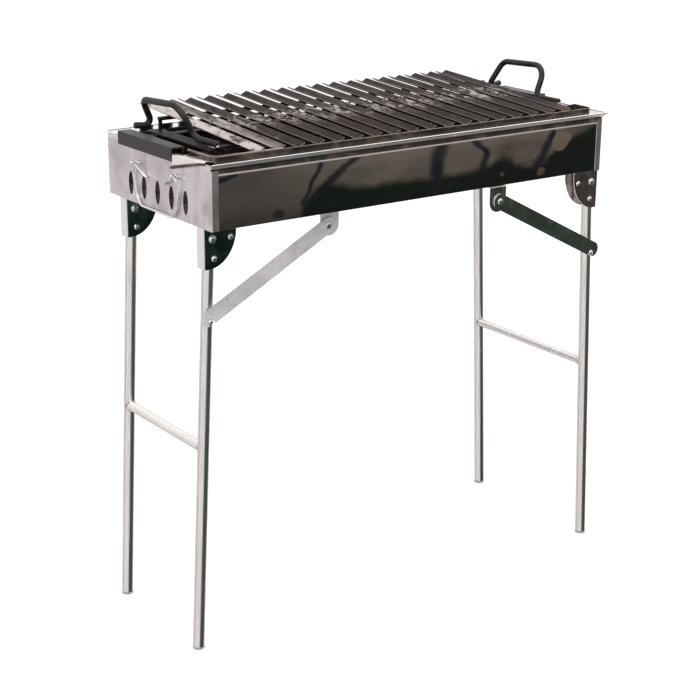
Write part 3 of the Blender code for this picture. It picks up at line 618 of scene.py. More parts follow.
def mat_mirror(name, tint, seed, dark_patches=0.5):
    """Small polished pressings: brackets, tabs, the right stay, with painted reflections of the dark surroundings on
    the faces turned to the cook's side.
    """
    g = G(name)
    n = g.noise((0.035, 0.035, 0.035), 4.0, 0.6, 0.8, seed)
    dark = g.ramp(n, [(0.32, tuple(c * 0.45 for c in tint)), (0.55, tint), (0.78, tuple(min(1, c * 2.2 + 0.05) for c in tint))])
    clean = (0.90, 0.89, 0.88)
    g2 = g.t.nodes.new("ShaderNodeNewGeometry")
    # painted reflection: only the faces turned to the cook's side get the dark surroundings painted into their colour
    fy = g.step(g.math("MULTIPLY", g.vec("DOT_PRODUCT", g2.outputs["Normal"], (0.0, -1.0, 0.0)), 1.0), 0.55, 0.9)
    k = g.math("MULTIPLY", g.facing_photo(), fy)
    col = g.mix(g.math("MULTIPLY", k, dark_patches), clean, dark)
    smear = g.noise((0.05, 0.05, 0.05), 5.0, 0.65, 0.8, seed + 4)
    rough = g.rng(smear, 0.35, 0.75, 0.07, 0.24)
    nb = g.bump(g.noise((0.02, 0.02, 0.02), 1.0, 0.4, 0.2, seed + 8), 0.25, 0.001)
    nb = g.bump(scratches(g, "z", 1.0, seed), 0.03, 0.0002, nb)
    return g.done(col, rough, 1.0, nb)


def mat_satin(name, base=(0.70, 0.655, 0.67), worn=0.0, grain="z", seed=0.0, burnt_with_lit_rim=False, rough0=0.30):
    """Dull polished sheet with cloudy handling marks and fine vertical brush lines; the burnt variant also gets a
    painted highlight on the rim band and soot inside.
    """
    g = G(name)
    big = g.noise((0.010, 0.014, 0.012), 4.0, 0.6, 0.8, seed + 1)
    mid = g.noise((0.05, 0.05, 0.03), 5.0, 0.6, 0.5, seed + 3)
    fine = g.noise((0.9, 0.9, 0.03) if grain == "z" else ((0.03, 0.9, 0.9) if grain == "x" else (0.9, 0.03, 0.9)),
                   3.0, 0.6, 0.0, seed + 6)
    c1 = g.mix(g.step(big, 0.36, 0.66), tuple(c * 0.84 for c in base), tuple(min(1, c * 1.14) for c in base))
    c2 = g.mix(g.math("MULTIPLY", g.step(mid, 0.48, 0.70), 0.5), c1, tuple(c * 0.70 for c in base))
    warm = g.noise((0.02, 0.02, 0.02), 3.0, 0.5, 0.4, seed + 11)
    c3 = g.mix(g.math("MULTIPLY", g.step(warm, 0.5, 0.72), 0.35), c2, (0.80, 0.68, 0.62))
    c4 = g.mix(g.math("MULTIPLY", g.math("SUBTRACT", fine, 0.35), 0.35), c3, (0.95, 0.93, 0.94))
    spots = g.voronoi((0.11, 0.11, 0.11), "F1", seed)
    c5 = g.mix(g.math("MULTIPLY", g.step(spots, 0.10, 0.04), 0.35), c4, (0.30, 0.27, 0.27))
    rough = g.math("ADD", g.rng(mid, 0.3, 0.75, rough0 - 0.05, rough0 + 0.16), worn)
    n1 = g.bump(fine, 0.05, 0.0003)
    n2 = g.bump(g.noise((0.006, 0.01, 0.01), 1.0, 0.4, 0.0, seed + 15), 0.3, 0.001, n1)
    if burnt_with_lit_rim:
        # painted highlight: the rim band above z 750 is lightened, then soot is laid inside the box
        c5 = g.mix(g.math("MULTIPLY", g.step(g.z, 749.4, 750.4), 0.6), c5, (0.95, 0.92, 0.93))
        c5, rough, metal = soot(g, c5, rough, 1.0)
    else:
        metal = 1.0 - worn
    return g.done(c5, rough, metal, n2)


def mat_tube():
    g = G("polished_tube")
    lines = g.noise((0.8, 0.8, 0.004), 3.0, 0.6, 0.0, 2.0)
    cloud = g.noise((0.02, 0.02, 0.012), 4.0, 0.6, 0.5, 5.0)
    c = g.mix(g.step(lines, 0.36, 0.60), (0.74, 0.735, 0.71), (0.98, 0.965, 0.945))
    c = g.mix(g.math("MULTIPLY", g.step(g.z, 420.0, 120.0), 0.5), c, (0.97, 0.92, 0.88))
    c = g.mix(g.math("MULTIPLY", g.step(cloud, 0.45, 0.7), 0.45), c, (0.86, 0.80, 0.79))
    scuff = g.noise((0.12, 0.12, 0.09), 5.0, 0.7, 1.0, 8.0)
    c = g.mix(g.math("MULTIPLY", g.step(scuff, 0.62, 0.72), 0.45), c, (0.42, 0.41, 0.39))
    rough = g.math("ADD", g.rng(cloud, 0.3, 0.75, 0.10, 0.24), g.math("MULTIPLY", g.step(scuff, 0.58, 0.72), 0.2))
    n = g.bump(lines, 0.10, 0.0003)
    n = g.bump(g.noise((0.01, 0.01, 0.006), 1.0, 0.5, 0.0, 13.0), 0.25, 0.001, n)
    return g.done(c, rough, 1.0, n)


def mat_zinc():
    g = G("bright_zinc")
    a = g.noise((0.25, 0.25, 0.25), 4.0, 0.6, 0.4, 1.0)
    c = g.mix(g.step(a, 0.35, 0.7), (0.70, 0.71, 0.71), (0.97, 0.97, 0.96))
    pit = g.voronoi((0.8, 0.8, 0.8))
    c = g.mix(g.math("MULTIPLY", g.step(pit, 0.22, 0.08), 0.4), c, (0.35, 0.34, 0.32))
    return g.done(c, g.rng(a, 0.3, 0.8, 0.14, 0.32), 1.0, g.bump(a, 0.15, 0.0004))


def mat_weld():
    g = G("weld_metal")
    a = g.noise((0.35, 0.35, 0.35), 4.0, 0.6, 0.4, 1.0)
    c = g.ramp(a, [(0.3, (0.20, 0.16, 0.14)), (0.5, (0.55, 0.50, 0.47)), (0.7, (0.86, 0.82, 0.80))])
    return g.done(c, g.rng(a, 0.3, 0.8, 0.25, 0.45), 1.0, g.bump(a, 0.4, 0.0006))


def mat_black(name="black_paint", lift=0.0):
    """Satin black heat paint: faint orange peel, dust, brownish grease, rubbed edges lightened as wear and as a painted
    edge highlight.
    """
    g = G(name)
    n = g.noise((0.03, 0.03, 0.03), 5.0, 0.6, 0.5, 4.0)
    dust = g.noise((0.25, 0.25, 0.25), 5.0, 0.7, 0.3, 8.0)
    c = g.mix(g.step(n, 0.38, 0.66), (0.008 + lift, 0.0068 + lift, 0.0072 + lift), (0.022 + lift, 0.0185 + lift, 0.0195 + lift))
    geo = g.t.nodes.new("ShaderNodeNewGeometry")
    up = g.step(g.vec("DOT_PRODUCT", geo.outputs["Normal"], (0, 0, 1)), 0.5, 0.95)
    c = g.mix(g.math("MULTIPLY", g.math("MULTIPLY", up, g.step(dust, 0.46, 0.72)), 0.35), c, (0.13, 0.10, 0.088))
    # edges lightened: rubbed wear and a painted edge highlight
    bev = g.t.nodes.new("ShaderNodeBevel")
    bev.samples = 4
    bev.inputs["Radius"].default_value = 0.0009
    edge = g.vec("DOT_PRODUCT", bev.outputs[0], geo.outputs["Normal"])
    rubbed_edge_highlight = g.math("MULTIPLY", g.step(edge, 0.995, 0.90), g.step(dust, 0.45, 0.62))
    c = g.mix(g.math("MULTIPLY", rubbed_edge_highlight, 0.6), c, (0.32, 0.30, 0.29))
    spat = g.voronoi((0.16, 0.16, 0.16), "F1", 3.0)
    c = g.mix(g.math("MULTIPLY", g.step(spat, 0.09, 0.03), 0.6), c, (0.28, 0.25, 0.23))
    rough = g.rng(n, 0.3, 0.7, 0.33, 0.52)
    peel = g.bump(g.noise((0.5, 0.5, 0.5), 2.0, 0.5, 0.0, 2.0), 0.14, 0.0005)
    return g.done(c, rough, 0.0, peel, spec=0.32)


def mat_bar():
    """Grill bars: heat-browned steel, long wipe streaks, ash on the left-hand bars and scuffs half-way; painted
    highlights on the edges and near ends, painted shade with soot on the downward faces.
    """
    g = G("seared_bar")
    oi = g.t.nodes.new("ShaderNodeObjectInfo")
    seed = g.math("MULTIPLY", oi.outputs["Random"], 60.0)
    off = g.comb(seed, 0.0, seed)
    co = g.vec("ADD", g.mm, off)
    st = g.noise((0.40, 0.006, 0.40), 5.0, 0.65, 0.2, 1.0, co)
    st2 = g.noise((1.2, 0.02, 1.2), 3.0, 0.6, 0.0, 5.0, co)
    cl = g.noise((0.05, 0.014, 0.05), 5.0, 0.65, 0.8, 2.0, co)
    c = g.ramp(st, [(0.28, (0.020, 0.0135, 0.012)), (0.48, (0.050, 0.034, 0.030)), (0.72, (0.115, 0.084, 0.075))])
    c = g.mix(g.math("MULTIPLY", g.step(cl, 0.42, 0.66), 0.6), c, (0.030, 0.020, 0.018))
    c = g.mix(g.math("MULTIPLY", g.step(st2, 0.58, 0.75), 0.4), c, (0.36, 0.31, 0.285))
    c = g.mix(g.math("MULTIPLY", g.step(g.y, 10.0, -110.0), 0.55), c, (0.028, 0.019, 0.017))
    dark_patches = g.step(g.noise((0.016, 0.010, 0.05), 4.0, 0.6, 0.8, 31.0, co), 0.44, 0.60)
    c = g.mix(g.math("MULTIPLY", dark_patches, 0.55), c, (0.026, 0.017, 0.015))
    c = g.mix(g.math("MULTIPLY", g.step(g.x, -40.0, 300.0), 0.35), c, (0.024, 0.016, 0.014))
    mid = g.math("MULTIPLY", g.step(g.y, -40.0, 4.0), g.step(g.y, 74.0, 26.0))
    sc = g.noise((0.12, 0.035, 0.12), 5.0, 0.7, 1.2, 7.0, co)
    c = g.mix(g.math("MULTIPLY", g.math("MULTIPLY", mid, g.step(sc, 0.47, 0.60)), 0.7), c, (0.62, 0.56, 0.53))
    ash = g.step(g.x, -232.0, -272.0)
    ashn = g.step(g.noise((0.05, 0.02, 0.05), 5.0, 0.7, 0.8, 17.0), 0.34, 0.52)
    speck = g.step(g.voronoi((0.12, 0.07, 0.12), "F1", 2.0), 0.10, 0.2)
    c = g.mix(g.math("MULTIPLY", g.math("MULTIPLY", ash, ashn), g.math("MULTIPLY", speck, 0.86)), c, (0.74, 0.68, 0.65))
    rust = g.math("MULTIPLY", g.step(g.x, 250.0, 330.0), g.step(g.y, -70.0, -125.0))
    c = g.mix(g.math("MULTIPLY", g.math("MULTIPLY", rust, g.step(cl, 0.35, 0.6)), 0.5), c, (0.30, 0.13, 0.08))
    geo = g.t.nodes.new("ShaderNodeNewGeometry")
    nz = g.vec("DOT_PRODUCT", geo.outputs["True Normal"], (0, 0, 1))
    ny = g.vec("DOT_PRODUCT", geo.outputs["True Normal"], (0, -1, 0))
    # steep faces (bar ends, flange edges) lightened: edge wear and a painted highlight
    c = g.mix(g.math("MULTIPLY", g.step(nz, 0.60, 0.35), 0.7), c, (0.42, 0.35, 0.32))
    # downward faces darkened: soot and painted shade
    c = g.mix(g.step(nz, 0.05, -0.25), c, (0.022, 0.017, 0.015))
    # near end faces lighter: painted highlight broken up by scuffs
    c = g.mix(g.math("MULTIPLY", g.step(ny, 0.6, 0.9), g.step(sc, 0.3, 0.5)), c, (0.62, 0.52, 0.46))
    rough = g.rng(cl, 0.3, 0.7, 0.40, 0.62)
    n = g.bump(st, 0.25, 0.0006)
    n = g.bump(cl, 0.2, 0.001, n)
    return g.done(c, rough, 0.9, n, spec=0.2)


def mat_char():
    g = G("burnt_plate")
    n = g.noise((0.04, 0.04, 0.04), 6.0, 0.65, 0.6, 2.0)
    c = g.ramp(n, [(0.3, (0.03, 0.024, 0.02)), (0.5, (0.09, 0.062, 0.045)), (0.66, (0.20, 0.11, 0.06)), (0.8, (0.30, 0.27, 0.25))])
    return g.done(c, 0.6, 0.55, g.bump(n, 0.4, 0.001))


def mat_trough():
    """Oily brown-black drip trough, glossy inside, with a painted highlight along the top lip."""
    g = G("greasy_trough")
    n = g.noise((0.02, 0.03, 0.03), 5.0, 0.6, 0.8, 6.0)
    c = g.ramp(n, [(0.3, (0.014, 0.011, 0.010)), (0.52, (0.050, 0.037, 0.030)), (0.72, (0.15, 0.115, 0.095))])
    drip = g.noise((0.3, 0.3, 0.02), 3.0, 0.5, 0.3, 3.0)
    c = g.mix(g.math("MULTIPLY", g.step(drip, 0.55, 0.75), 0.4), c, (0.02, 0.015, 0.012))
    # painted highlight: a lighter broken line along the top lip
    lip_highlight = g.math("MULTIPLY", g.step(g.z, 766.4, 767.4), g.step(g.noise((0.05, 0.2, 0.2), 4.0, 0.6, 0.3, 9.0), 0.32, 0.5))
    c = g.mix(g.math("MULTIPLY", lip_highlight, 0.6), c, (0.30, 0.235, 0.20))
    rough = g.rng(n, 0.3, 0.7, 0.13, 0.30)
    return g.done(c, rough, 0.35, g.bump(n, 0.35, 0.001), spec=0.7)


def mat_plug():
    g = G("plug_grey")
    n = g.noise((0.3, 0.3, 0.3), 4.0, 0.6, 0.2, 1.0)
    c = g.mix(n, (0.24, 0.24, 0.245), (0.40, 0.40, 0.41))
    d = g.step(g.z, 2.5, 0.2)
    c = g.mix(g.math("MULTIPLY", d, 0.5), c, (0.16, 0.14, 0.12))
    return g.done(c, 0.6, 0.0, g.bump(n, 0.1, 0.0003))


FRONT = mat_front()
# the tints given to mat_mirror are painted reflections of the dark surroundings
BRK_L = mat_mirror("mirror_bracket_left", (0.07, 0.13, 0.125), 3.0, 1.0)
BRK_R = mat_mirror("mirror_bracket_right", (0.42, 0.36, 0.33), 31.0, 0.9)
STAY_R = mat_mirror("mirror_stay", (0.22, 0.36, 0.30), 17.0, 0.85)
TAB_R_M = mat_mirror("mirror_tab", (0.30, 0.27, 0.26), 23.0, 0.8)
SATIN = mat_satin("satin_sheet", (0.70, 0.655, 0.675), 0.0, "z", 0.0, True)
SATIN_W = mat_satin("satin_stay", (0.56, 0.545, 0.56), 0.42, "x", 9.0, False, 0.38)
SATIN_P = mat_satin("satin_pan", (0.62, 0.60, 0.59), 0.0, "x", 14.0, True)
TUBE = mat_tube()
ZINC = mat_zinc()
WELD = mat_weld()
BLACK = mat_black()
BLACK_BAR = mat_black("black_end_bar", 0.009)
BARM = mat_bar()
CHAR = mat_char()
TROUGH = mat_trough()
PLUG = mat_plug()

# ================================================================ fire box
ANG0 = math.degrees(math.atan2(-0.642, 0.767))


def bead(cx, cz, r, n=12):
    return [(cx + r * math.cos(math.radians(ANG0 + 180 * i / n)), cz + r * math.sin(math.radians(ANG0 + 180 * i / n)))
            for i in range(n + 1)]


def long_profile():
    outer = [(-9, Z0 + 0.1), (0, Z0 + 0.1), (0, 741.5), (-1.72, 749.4), (4.98, 757.28)]
    r = [0, 1.7, 8.0, 2.2, 0]
    inner = [(4.22, 757.92), (-2.6, 750.0), (-1.0, 741.4), (-1.0, Z0 + 1.1), (-9, Z0 + 1.1)]
    r2 = [0, 1.5, 6.0, 0.8, 0]
    P = rounded(outer, r, 6, closed=False)
    Q = rounded(inner, r2, 6, closed=False)
    return [tuple(p) for p in P] + bead(5.0, 758.1, 1.35) + [tuple(p) for p in Q]


def long_panel(sign):
    loop = [(sign * (HY + o), z) for o, z in long_profile()]

    def fn(v):
        out = abs(v.y) - HY
        if out > 0.01:
            v.x = HX + out - 0.15 if v.x > 0 else -HX - 0.4 + (out * 0.9 if sign > 0 else 0.0)
        return v
    return prism(loop, -HX + 1.4, HX - 1.4, YZ(0), 1, fn)


put("front_sheet", long_panel(-1), FRONT, "fire_box", "mirror_steel", "front_panel")
put("back_sheet", long_panel(1), FRONT, "fire_box", "mirror_steel", "back_panel")


def end_sheet(flared):
    wy = HY + 0.3
    u = rounded([(-HX + 12, -wy - 1), (-HX, -wy - 1), (-HX, wy + 1), (-HX + 12, wy + 1), (-HX + 12, wy), (-HX + 1, wy),
                 (-HX + 1, -wy), (-HX + 12, -wy)], [0.35, 2.0, 2.0, 0.35, 0.35, 1.0, 1.0, 0.35], 6)
    body = prism(u, Z0, 749.4, XY(0))
    lip = rounded([(-1.0, 744.0), (-0.0, 744.0), (0.0, 750.6), (4.98, 757.28)], [0, 0, 2.0, 0], 6, closed=False)
    lip = [tuple(p) for p in lip] + bead(5.0, 758.1, 1.35) + \
        [tuple(p) for p in rounded([(4.22, 757.92), (-1.0, 751.0), (-1.0, 744.0)], [0, 1.5, 0], 6, closed=False)][:-1]
    loop = [(-(HX + o), z) for o, z in lip]

    def fn(v):
        out = abs(v.x) - HX
        if out > 0.01:
            v.y = math.copysign(HY + out - 0.15, v.y)
        return v
    rim = prism(loop, -HY + 1.2, HY - 1.2, XZ(0), 1, fn)
    if not flared:
        rim = prism(rounded([(-HX, 744.0), (-HX, 757.8), (-HX + 1.0, 757.8), (-HX + 1.0, 744.0)][::-1], 0.3, 3), -HY + 0.4, HY - 0.4, XZ(0), 1)
    me = boolean(body, rim, "UNION")
    cut = []
    for k in range(-2, 3):
        # almond-shaped vent, slightly pointed
        pts = []
        for i in range(48):
            a = 2 * math.pi * i / 48
            ca, sa = math.cos(a), math.sin(a)
            pts.append((40.0 * k + 7.0 * math.copysign(abs(ca) ** 1.18, ca), 691.5 + 18.0 * sa))
        cut.append(prism(pts, -8, 8, YZ(-HX)))
    for y in (-BAIL_Y, BAIL_Y):
        cut.append(prism(circle(y, BAIL_Z, 2.5, 24), -8, 8, YZ(-HX)))
    return boolean(me, joined(cut), "DIFFERENCE")


_endr = mirrored(end_sheet(True))
put("left_end_sheet", end_sheet(False), SATIN, "fire_box", "satin_steel", "left_end_panel")
put("right_end_sheet", _endr, SATIN, "fire_box", "satin_steel", "right_end_panel")

# pan with a shallow stiffening bead pressed round it
px, py = HX - 1.3, HY - 1.3


def pan():
    bm = bmesh.new()
    nx, ny = 60, 24
    grid = {}
    for side in (0, 1):
        for i in range(nx + 1):
            for j in range(ny + 1):
                x = -px + 2 * px * i / nx
                y = -py + 2 * py * j / ny
                dx, dy = px - abs(x), py - abs(y)
                d = min(dx, dy)
                z = Z0 + side * 1.0
                z += 1.6 * math.exp(-((d - 34.0) / 7.0) ** 2)
                z += 0.25 * noise.noise(Vector((x * 0.012, y * 0.012, 4.0))) if d > 40 else 0.0
                grid[side, i, j] = bm.verts.new((x, y, z + 0.1))
    for i in range(nx):
        for j in range(ny):
            bm.faces.new((grid[1, i, j], grid[1, i + 1, j], grid[1, i + 1, j + 1], grid[1, i, j + 1]))
            bm.faces.new((grid[0, i, j], grid[0, i, j + 1], grid[0, i + 1, j + 1], grid[0, i + 1, j]))
    for i in range(nx):
        for j, flip in ((0, 0), (ny, 1)):
            f = (grid[0, i, j], grid[0, i + 1, j], grid[1, i + 1, j], grid[1, i, j])
            bm.faces.new(f[::-1] if flip else f)
    for j in range(ny):
        for i, flip in ((0, 1), (nx, 0)):
            f = (grid[0, i, j], grid[0, i, j + 1], grid[1, i, j + 1], grid[1, i, j])
            bm.faces.new(f[::-1] if flip else f)
    return to_mesh(bm, 1e-4)


put("box_floor", pan(), SATIN_P, "fire_box", "satin_steel", "bottom_pan")

for side, s in (("left", -1), ("right", 1)):
    xi = HX - 1.3
    loop = rounded([(s * xi, 676), (s * xi, 689.2), (s * (xi - 16), 689.2), (s * (xi - 16), 688.0), (s * (xi - 1.2), 688.0),
                    (s * (xi - 1.2), 676)], [0.3, 1.6, 0.4, 0.4, 0.8, 0.3], 4)
    put("ledge_" + side, prism(loop, -120, 120, XZ(0)), SATIN_P, "fire_box", "satin_steel", "grid_ledge_" + side)


def slot_loop(cx, cy, w, h, n=6):
    return [tuple(p) for p in rounded([(cx - w, cy - h), (cx + w, cy - h), (cx + w, cy + h), (cx - w, cy + h)], w * 0.98, n)]


GX, GY = HX - 4.0, HY - 4.5
loops = [[tuple(p) for p in rounded([(-GX, -GY), (GX, -GY), (GX, GY), (-GX, GY)], 3.0, 4)]]
for i in range(-8, 9):
    for cy in (-92, 0, 92):
        loops.append(slot_loop(i * 42.0, cy, 5.0, 38.0))
put("coal_grid", plate(loops, 1.3, XY(690.65), 0.3), CHAR, "charcoal_tray", "seared_steel", "charcoal_grid")

# ================================================================ leg brackets and fixings
CH_X0, CH_X1, CH_Z0, CH_Z1 = 372.0, 318.0, 601.0, Z0 - 0.3
PL_IN, PL_T = TUBE_R + 0.4, 1.5
DET = {"fold": (PIVOT_X - 30.0, PIVOT_Z), "open": (PIVOT_X - 2.0, PIVOT_Z - 29.0)}


def bracket(s, yc):
    o, i = PL_IN + PL_T, PL_IN
    u = rounded([(s * CH_X1, yc - o), (s * CH_X0, yc - o), (s * CH_X0, yc + o), (s * CH_X1, yc + o), (s * CH_X1, yc + i),
                 (s * (CH_X0 - PL_T), yc + i), (s * (CH_X0 - PL_T), yc - i), (s * CH_X1, yc - i)],
                [0.35, 2.4, 2.4, 0.35, 0.35, 0.9, 0.9, 0.35], 6)
    if s > 0:
        u = u[::-1]
    ch = prism(u, CH_Z0 - 5, CH_Z1 + 5, XY(0))
    cx, cz = CH_X0 - 7.0, CH_Z1 - 5.0
    rx, rz = cx - CH_X1, cz - CH_Z0
    pts = [(CH_X0 + 2, CH_Z0 - 0.0), (CH_X0 + 2, CH_Z1), (CH_X1 + 2, CH_Z1)]
    pts += [(CH_X1, CH_Z1 - 2)]
    for k in range(0, 33):
        a = math.radians(180 + 90 * k / 32)
        pts.append((cx + rx * math.cos(a), cz + rz * math.sin(a)))
    pts = [(s * x, z) for x, z in pts]
    sil = prism(pts, -40, 40, XZ(yc))
    me = boolean(ch, sil, "INTERSECT")
    top = prism(rounded([(s * (CH_X0 - 0.8), yc - i - 0.3), (s * (CH_X0 - 0.8), yc + i + 0.3), (s * (CH_X1 + 4), yc + i + 0.3),
                         (s * (CH_X1 + 4), yc - i - 0.3)], 0.5, 3), CH_Z1 - PL_T, CH_Z1 - 0.05, XY(0))
    me = boolean(me, top, "UNION")
    # the pressed dimples on the rear cheek, and dished seats round the rivets on the front one
    for x, z in DET.values():
        prof = dome(4.2, 1.7, 6) + [(4.2, -0.8), (0.0, -0.8)]
        me = boolean(me, lathe(prof, (s * x, yc + o, z), (0, 1, 0), 28), "UNION")
        prof = [(0.0, 0.45), (4.6, 0.45), (5.6, 0.25), (6.1, -0.05), (6.1, -0.7), (0.0, -0.7)]
        me = boolean(me, lathe(prof, (s * x, yc - o, z), (0, -1, 0), 36), "UNION")
    return me


def fixing(name, r, h, at, direction, body, mat, node, depth, flat=0.0):
    """Domed rivet head on a thin collar with a shank behind it."""
    prof = dome(r, h, 8)
    prof = [(p[0], p[1] + 0.35) for p in prof] + [(r, 0.1), (r - 0.25, 0.0), (2.5, 0.0), (2.5, -depth), (0.0, -depth)]
    put(name, lathe(prof, at, direction, 36), mat, body, "zinc_fixings", node, weighted=False)


for side, s in (("left", -1), ("right", 1)):
    for fb, ys in (("front", -1), ("back", 1)):
        yc = ys * LEG_Y[side]
        tag = "%s_%s" % (side, fb)
        put("bracket_" + tag, bracket(s, yc), BRK_L if side == "left" else BRK_R, "fire_box", "mirror_steel", "leg_bracket_" + tag)
        o = PL_IN + PL_T
        for nm, (x, z) in DET.items():
            fixing("rivet_%s_%s" % (nm, tag), 4.4, 1.9, (s * x, yc - o - 0.5, z), (0, -1, 0), "fire_box", ZINC,
                   "detent_rivet_%s_%s" % (nm, tag), 1.7)
        head = dome(5.3, 2.1, 8)
        col = [(5.3, 0.0), (6.2, -0.15), (6.4, -0.5), (3.0, -0.5)]
        hh = o + 0.55
        prof = [(r, h + hh) for r, h in head + col] + [(r, -(h + hh)) for r, h in reversed(head + col)]
        put("pivot_" + tag, lathe(prof, (s * PIVOT_X, yc, PIVOT_Z), (0, 1, 0), 36), ZINC, "fire_box", "zinc_fixings",
            "leg_pivot_bolt_" + tag, weighted=False)


# ================================================================ leg frames
def slanted(s, yc, prof, seg=48, closed=True):
    """Rings of (radius, height) centred on the leaning leg line."""
    bm = bmesh.new()
    rings = []
    for r, z in prof:
        if r < 1e-6:
            rings.append([bm.verts.new((leg_x(s, z), yc, z))])
        else:
            rings.append([bm.verts.new((leg_x(s, z) + r * math.cos(2 * math.pi * i / seg), yc + r * math.sin(2 * math.pi * i / seg), z))
                          for i in range(seg)])
    pairs = list(zip(rings, rings[1:]))
    if closed:
        pairs.append((rings[-1], rings[0]))
    for a, b in pairs:
        for i in range(seg):
            j = (i + 1) % seg
            if len(a) == 1:
                bm.faces.new((a[0], b[j], b[i]))
            elif len(b) == 1:
                bm.faces.new((a[i], a[j], b[0]))
            else:
                bm.faces.new((a[i], a[j], b[j], b[i]))
    return to_mesh(bm, 1e-4)


for side, s in (("left", -1), ("right", 1)):
    body = side + "_leg_frame"
    y = LEG_Y[side]
    for fb, ys in (("front", -1), ("back", 1)):
        yc = ys * y
        top, bot = PIVOT_Z + 6.4, 3.3
        R, ri = TUBE_R, TUBE_R - TUBE_W
        prof = [(R, bot + 0.35), (R - 0.35, bot), (ri + 0.3, bot), (ri, bot + 0.3), (ri, top - 0.4), (ri + 0.3, top), (R - 0.35, top), (R, top - 0.35)]
        zs = [top - 8, CROSS_Z + 60, CROSS_Z, CROSS_Z - 60, 150.0, 40.0]
        prof += [(R, z) for z in zs]
        # cross hole for the pivot bolt
        hole = prism(circle(s * PIVOT_X, PIVOT_Z, 3.3, 32), -12, 12, XZ(yc))
        tube = boolean(slanted(s, yc, prof), hole, "DIFFERENCE")
        put("tube_%s_%s" % (side, fb), tube, TUBE, body, "tube_steel", "leg_tube_%s_%s" % (side, fb), weighted=False, sharp=40)
        prof = [(0.0, 0.0), (R - 1.6, 0.0), (R - 0.5, 0.35), (R, 1.1), (R, 2.4), (R - 0.5, 3.0), (ri - 0.5, 3.0), (ri - 0.55, 15.0), (ri - 1.6, 16.0), (0.0, 16.0)]
        put("plug_%s_%s" % (side, fb), slanted(s, yc, prof, 48, False), PLUG, body, "plug_grey", "leg_plug_%s_%s" % (side, fb), weighted=False, sharp=40)
    # cross bar, coped round both tubes, with weld beads
    xb = leg_x(s, CROSS_Z)
    bm = bmesh.new()
    seg = 48
    rows = []
    ys_ = [-1, -0.5, 0.0, 0.5, 1]
    for t in ys_:
        row = []
        for i in range(seg):
            a = 2 * math.pi * i / seg
            dx, dz = CROSS_R * math.cos(a), CROSS_R * math.sin(a)
            ye = y - math.sqrt(max(0.0, (TUBE_R + 0.05) ** 2 - (dx + dz * TAN) ** 2))
            row.append(bm.verts.new((xb + dx, t * ye if abs(t) == 1 else t * (y - 20), CROSS_Z + dz)))
        rows.append(row)
    for r0, r1 in zip(rows, rows[1:]):
        for i in range(seg):
            bm.faces.new((r0[i], r0[(i + 1) % seg], r1[(i + 1) % seg], r1[i]))
    for row, e in ((rows[0], -1), (rows[-1], 1)):
        c = bm.verts.new((xb, e * (y - TUBE_R - 0.05), CROSS_Z))
        for i in range(seg):
            bm.faces.new((row[i], row[(i + 1) % seg], c))
    put("crossbar_" + side, to_mesh(bm), TUBE, body, "tube_steel", "cross_bar_" + side, weighted=False, sharp=40)
    for e in (-1, 1):
        pts, rad = [], []
        for i in range(64):
            a = 2 * math.pi * i / 64
            dx, dz = (CROSS_R + 0.35) * math.cos(a), (CROSS_R + 0.35) * math.sin(a)
            ye = y - math.sqrt(max(0.0, (TUBE_R + 0.35) ** 2 - min((dx + dz * TAN) ** 2, TUBE_R ** 2)))
            pts.append((xb + dx, e * ye, CROSS_Z + dz))
            rad.append(0.95 + 0.22 * math.sin(i * 64 / 64 * 1.57) + 0.15 * noise.noise(Vector((i * 0.7, e * 3.0, s * 5.0))))
        put("weld_%s_%s" % (side, "front" if e < 0 else "back"), sweep(pts, rad, 10, closed=True), WELD, body, "tube_steel", weighted=False, sharp=60)

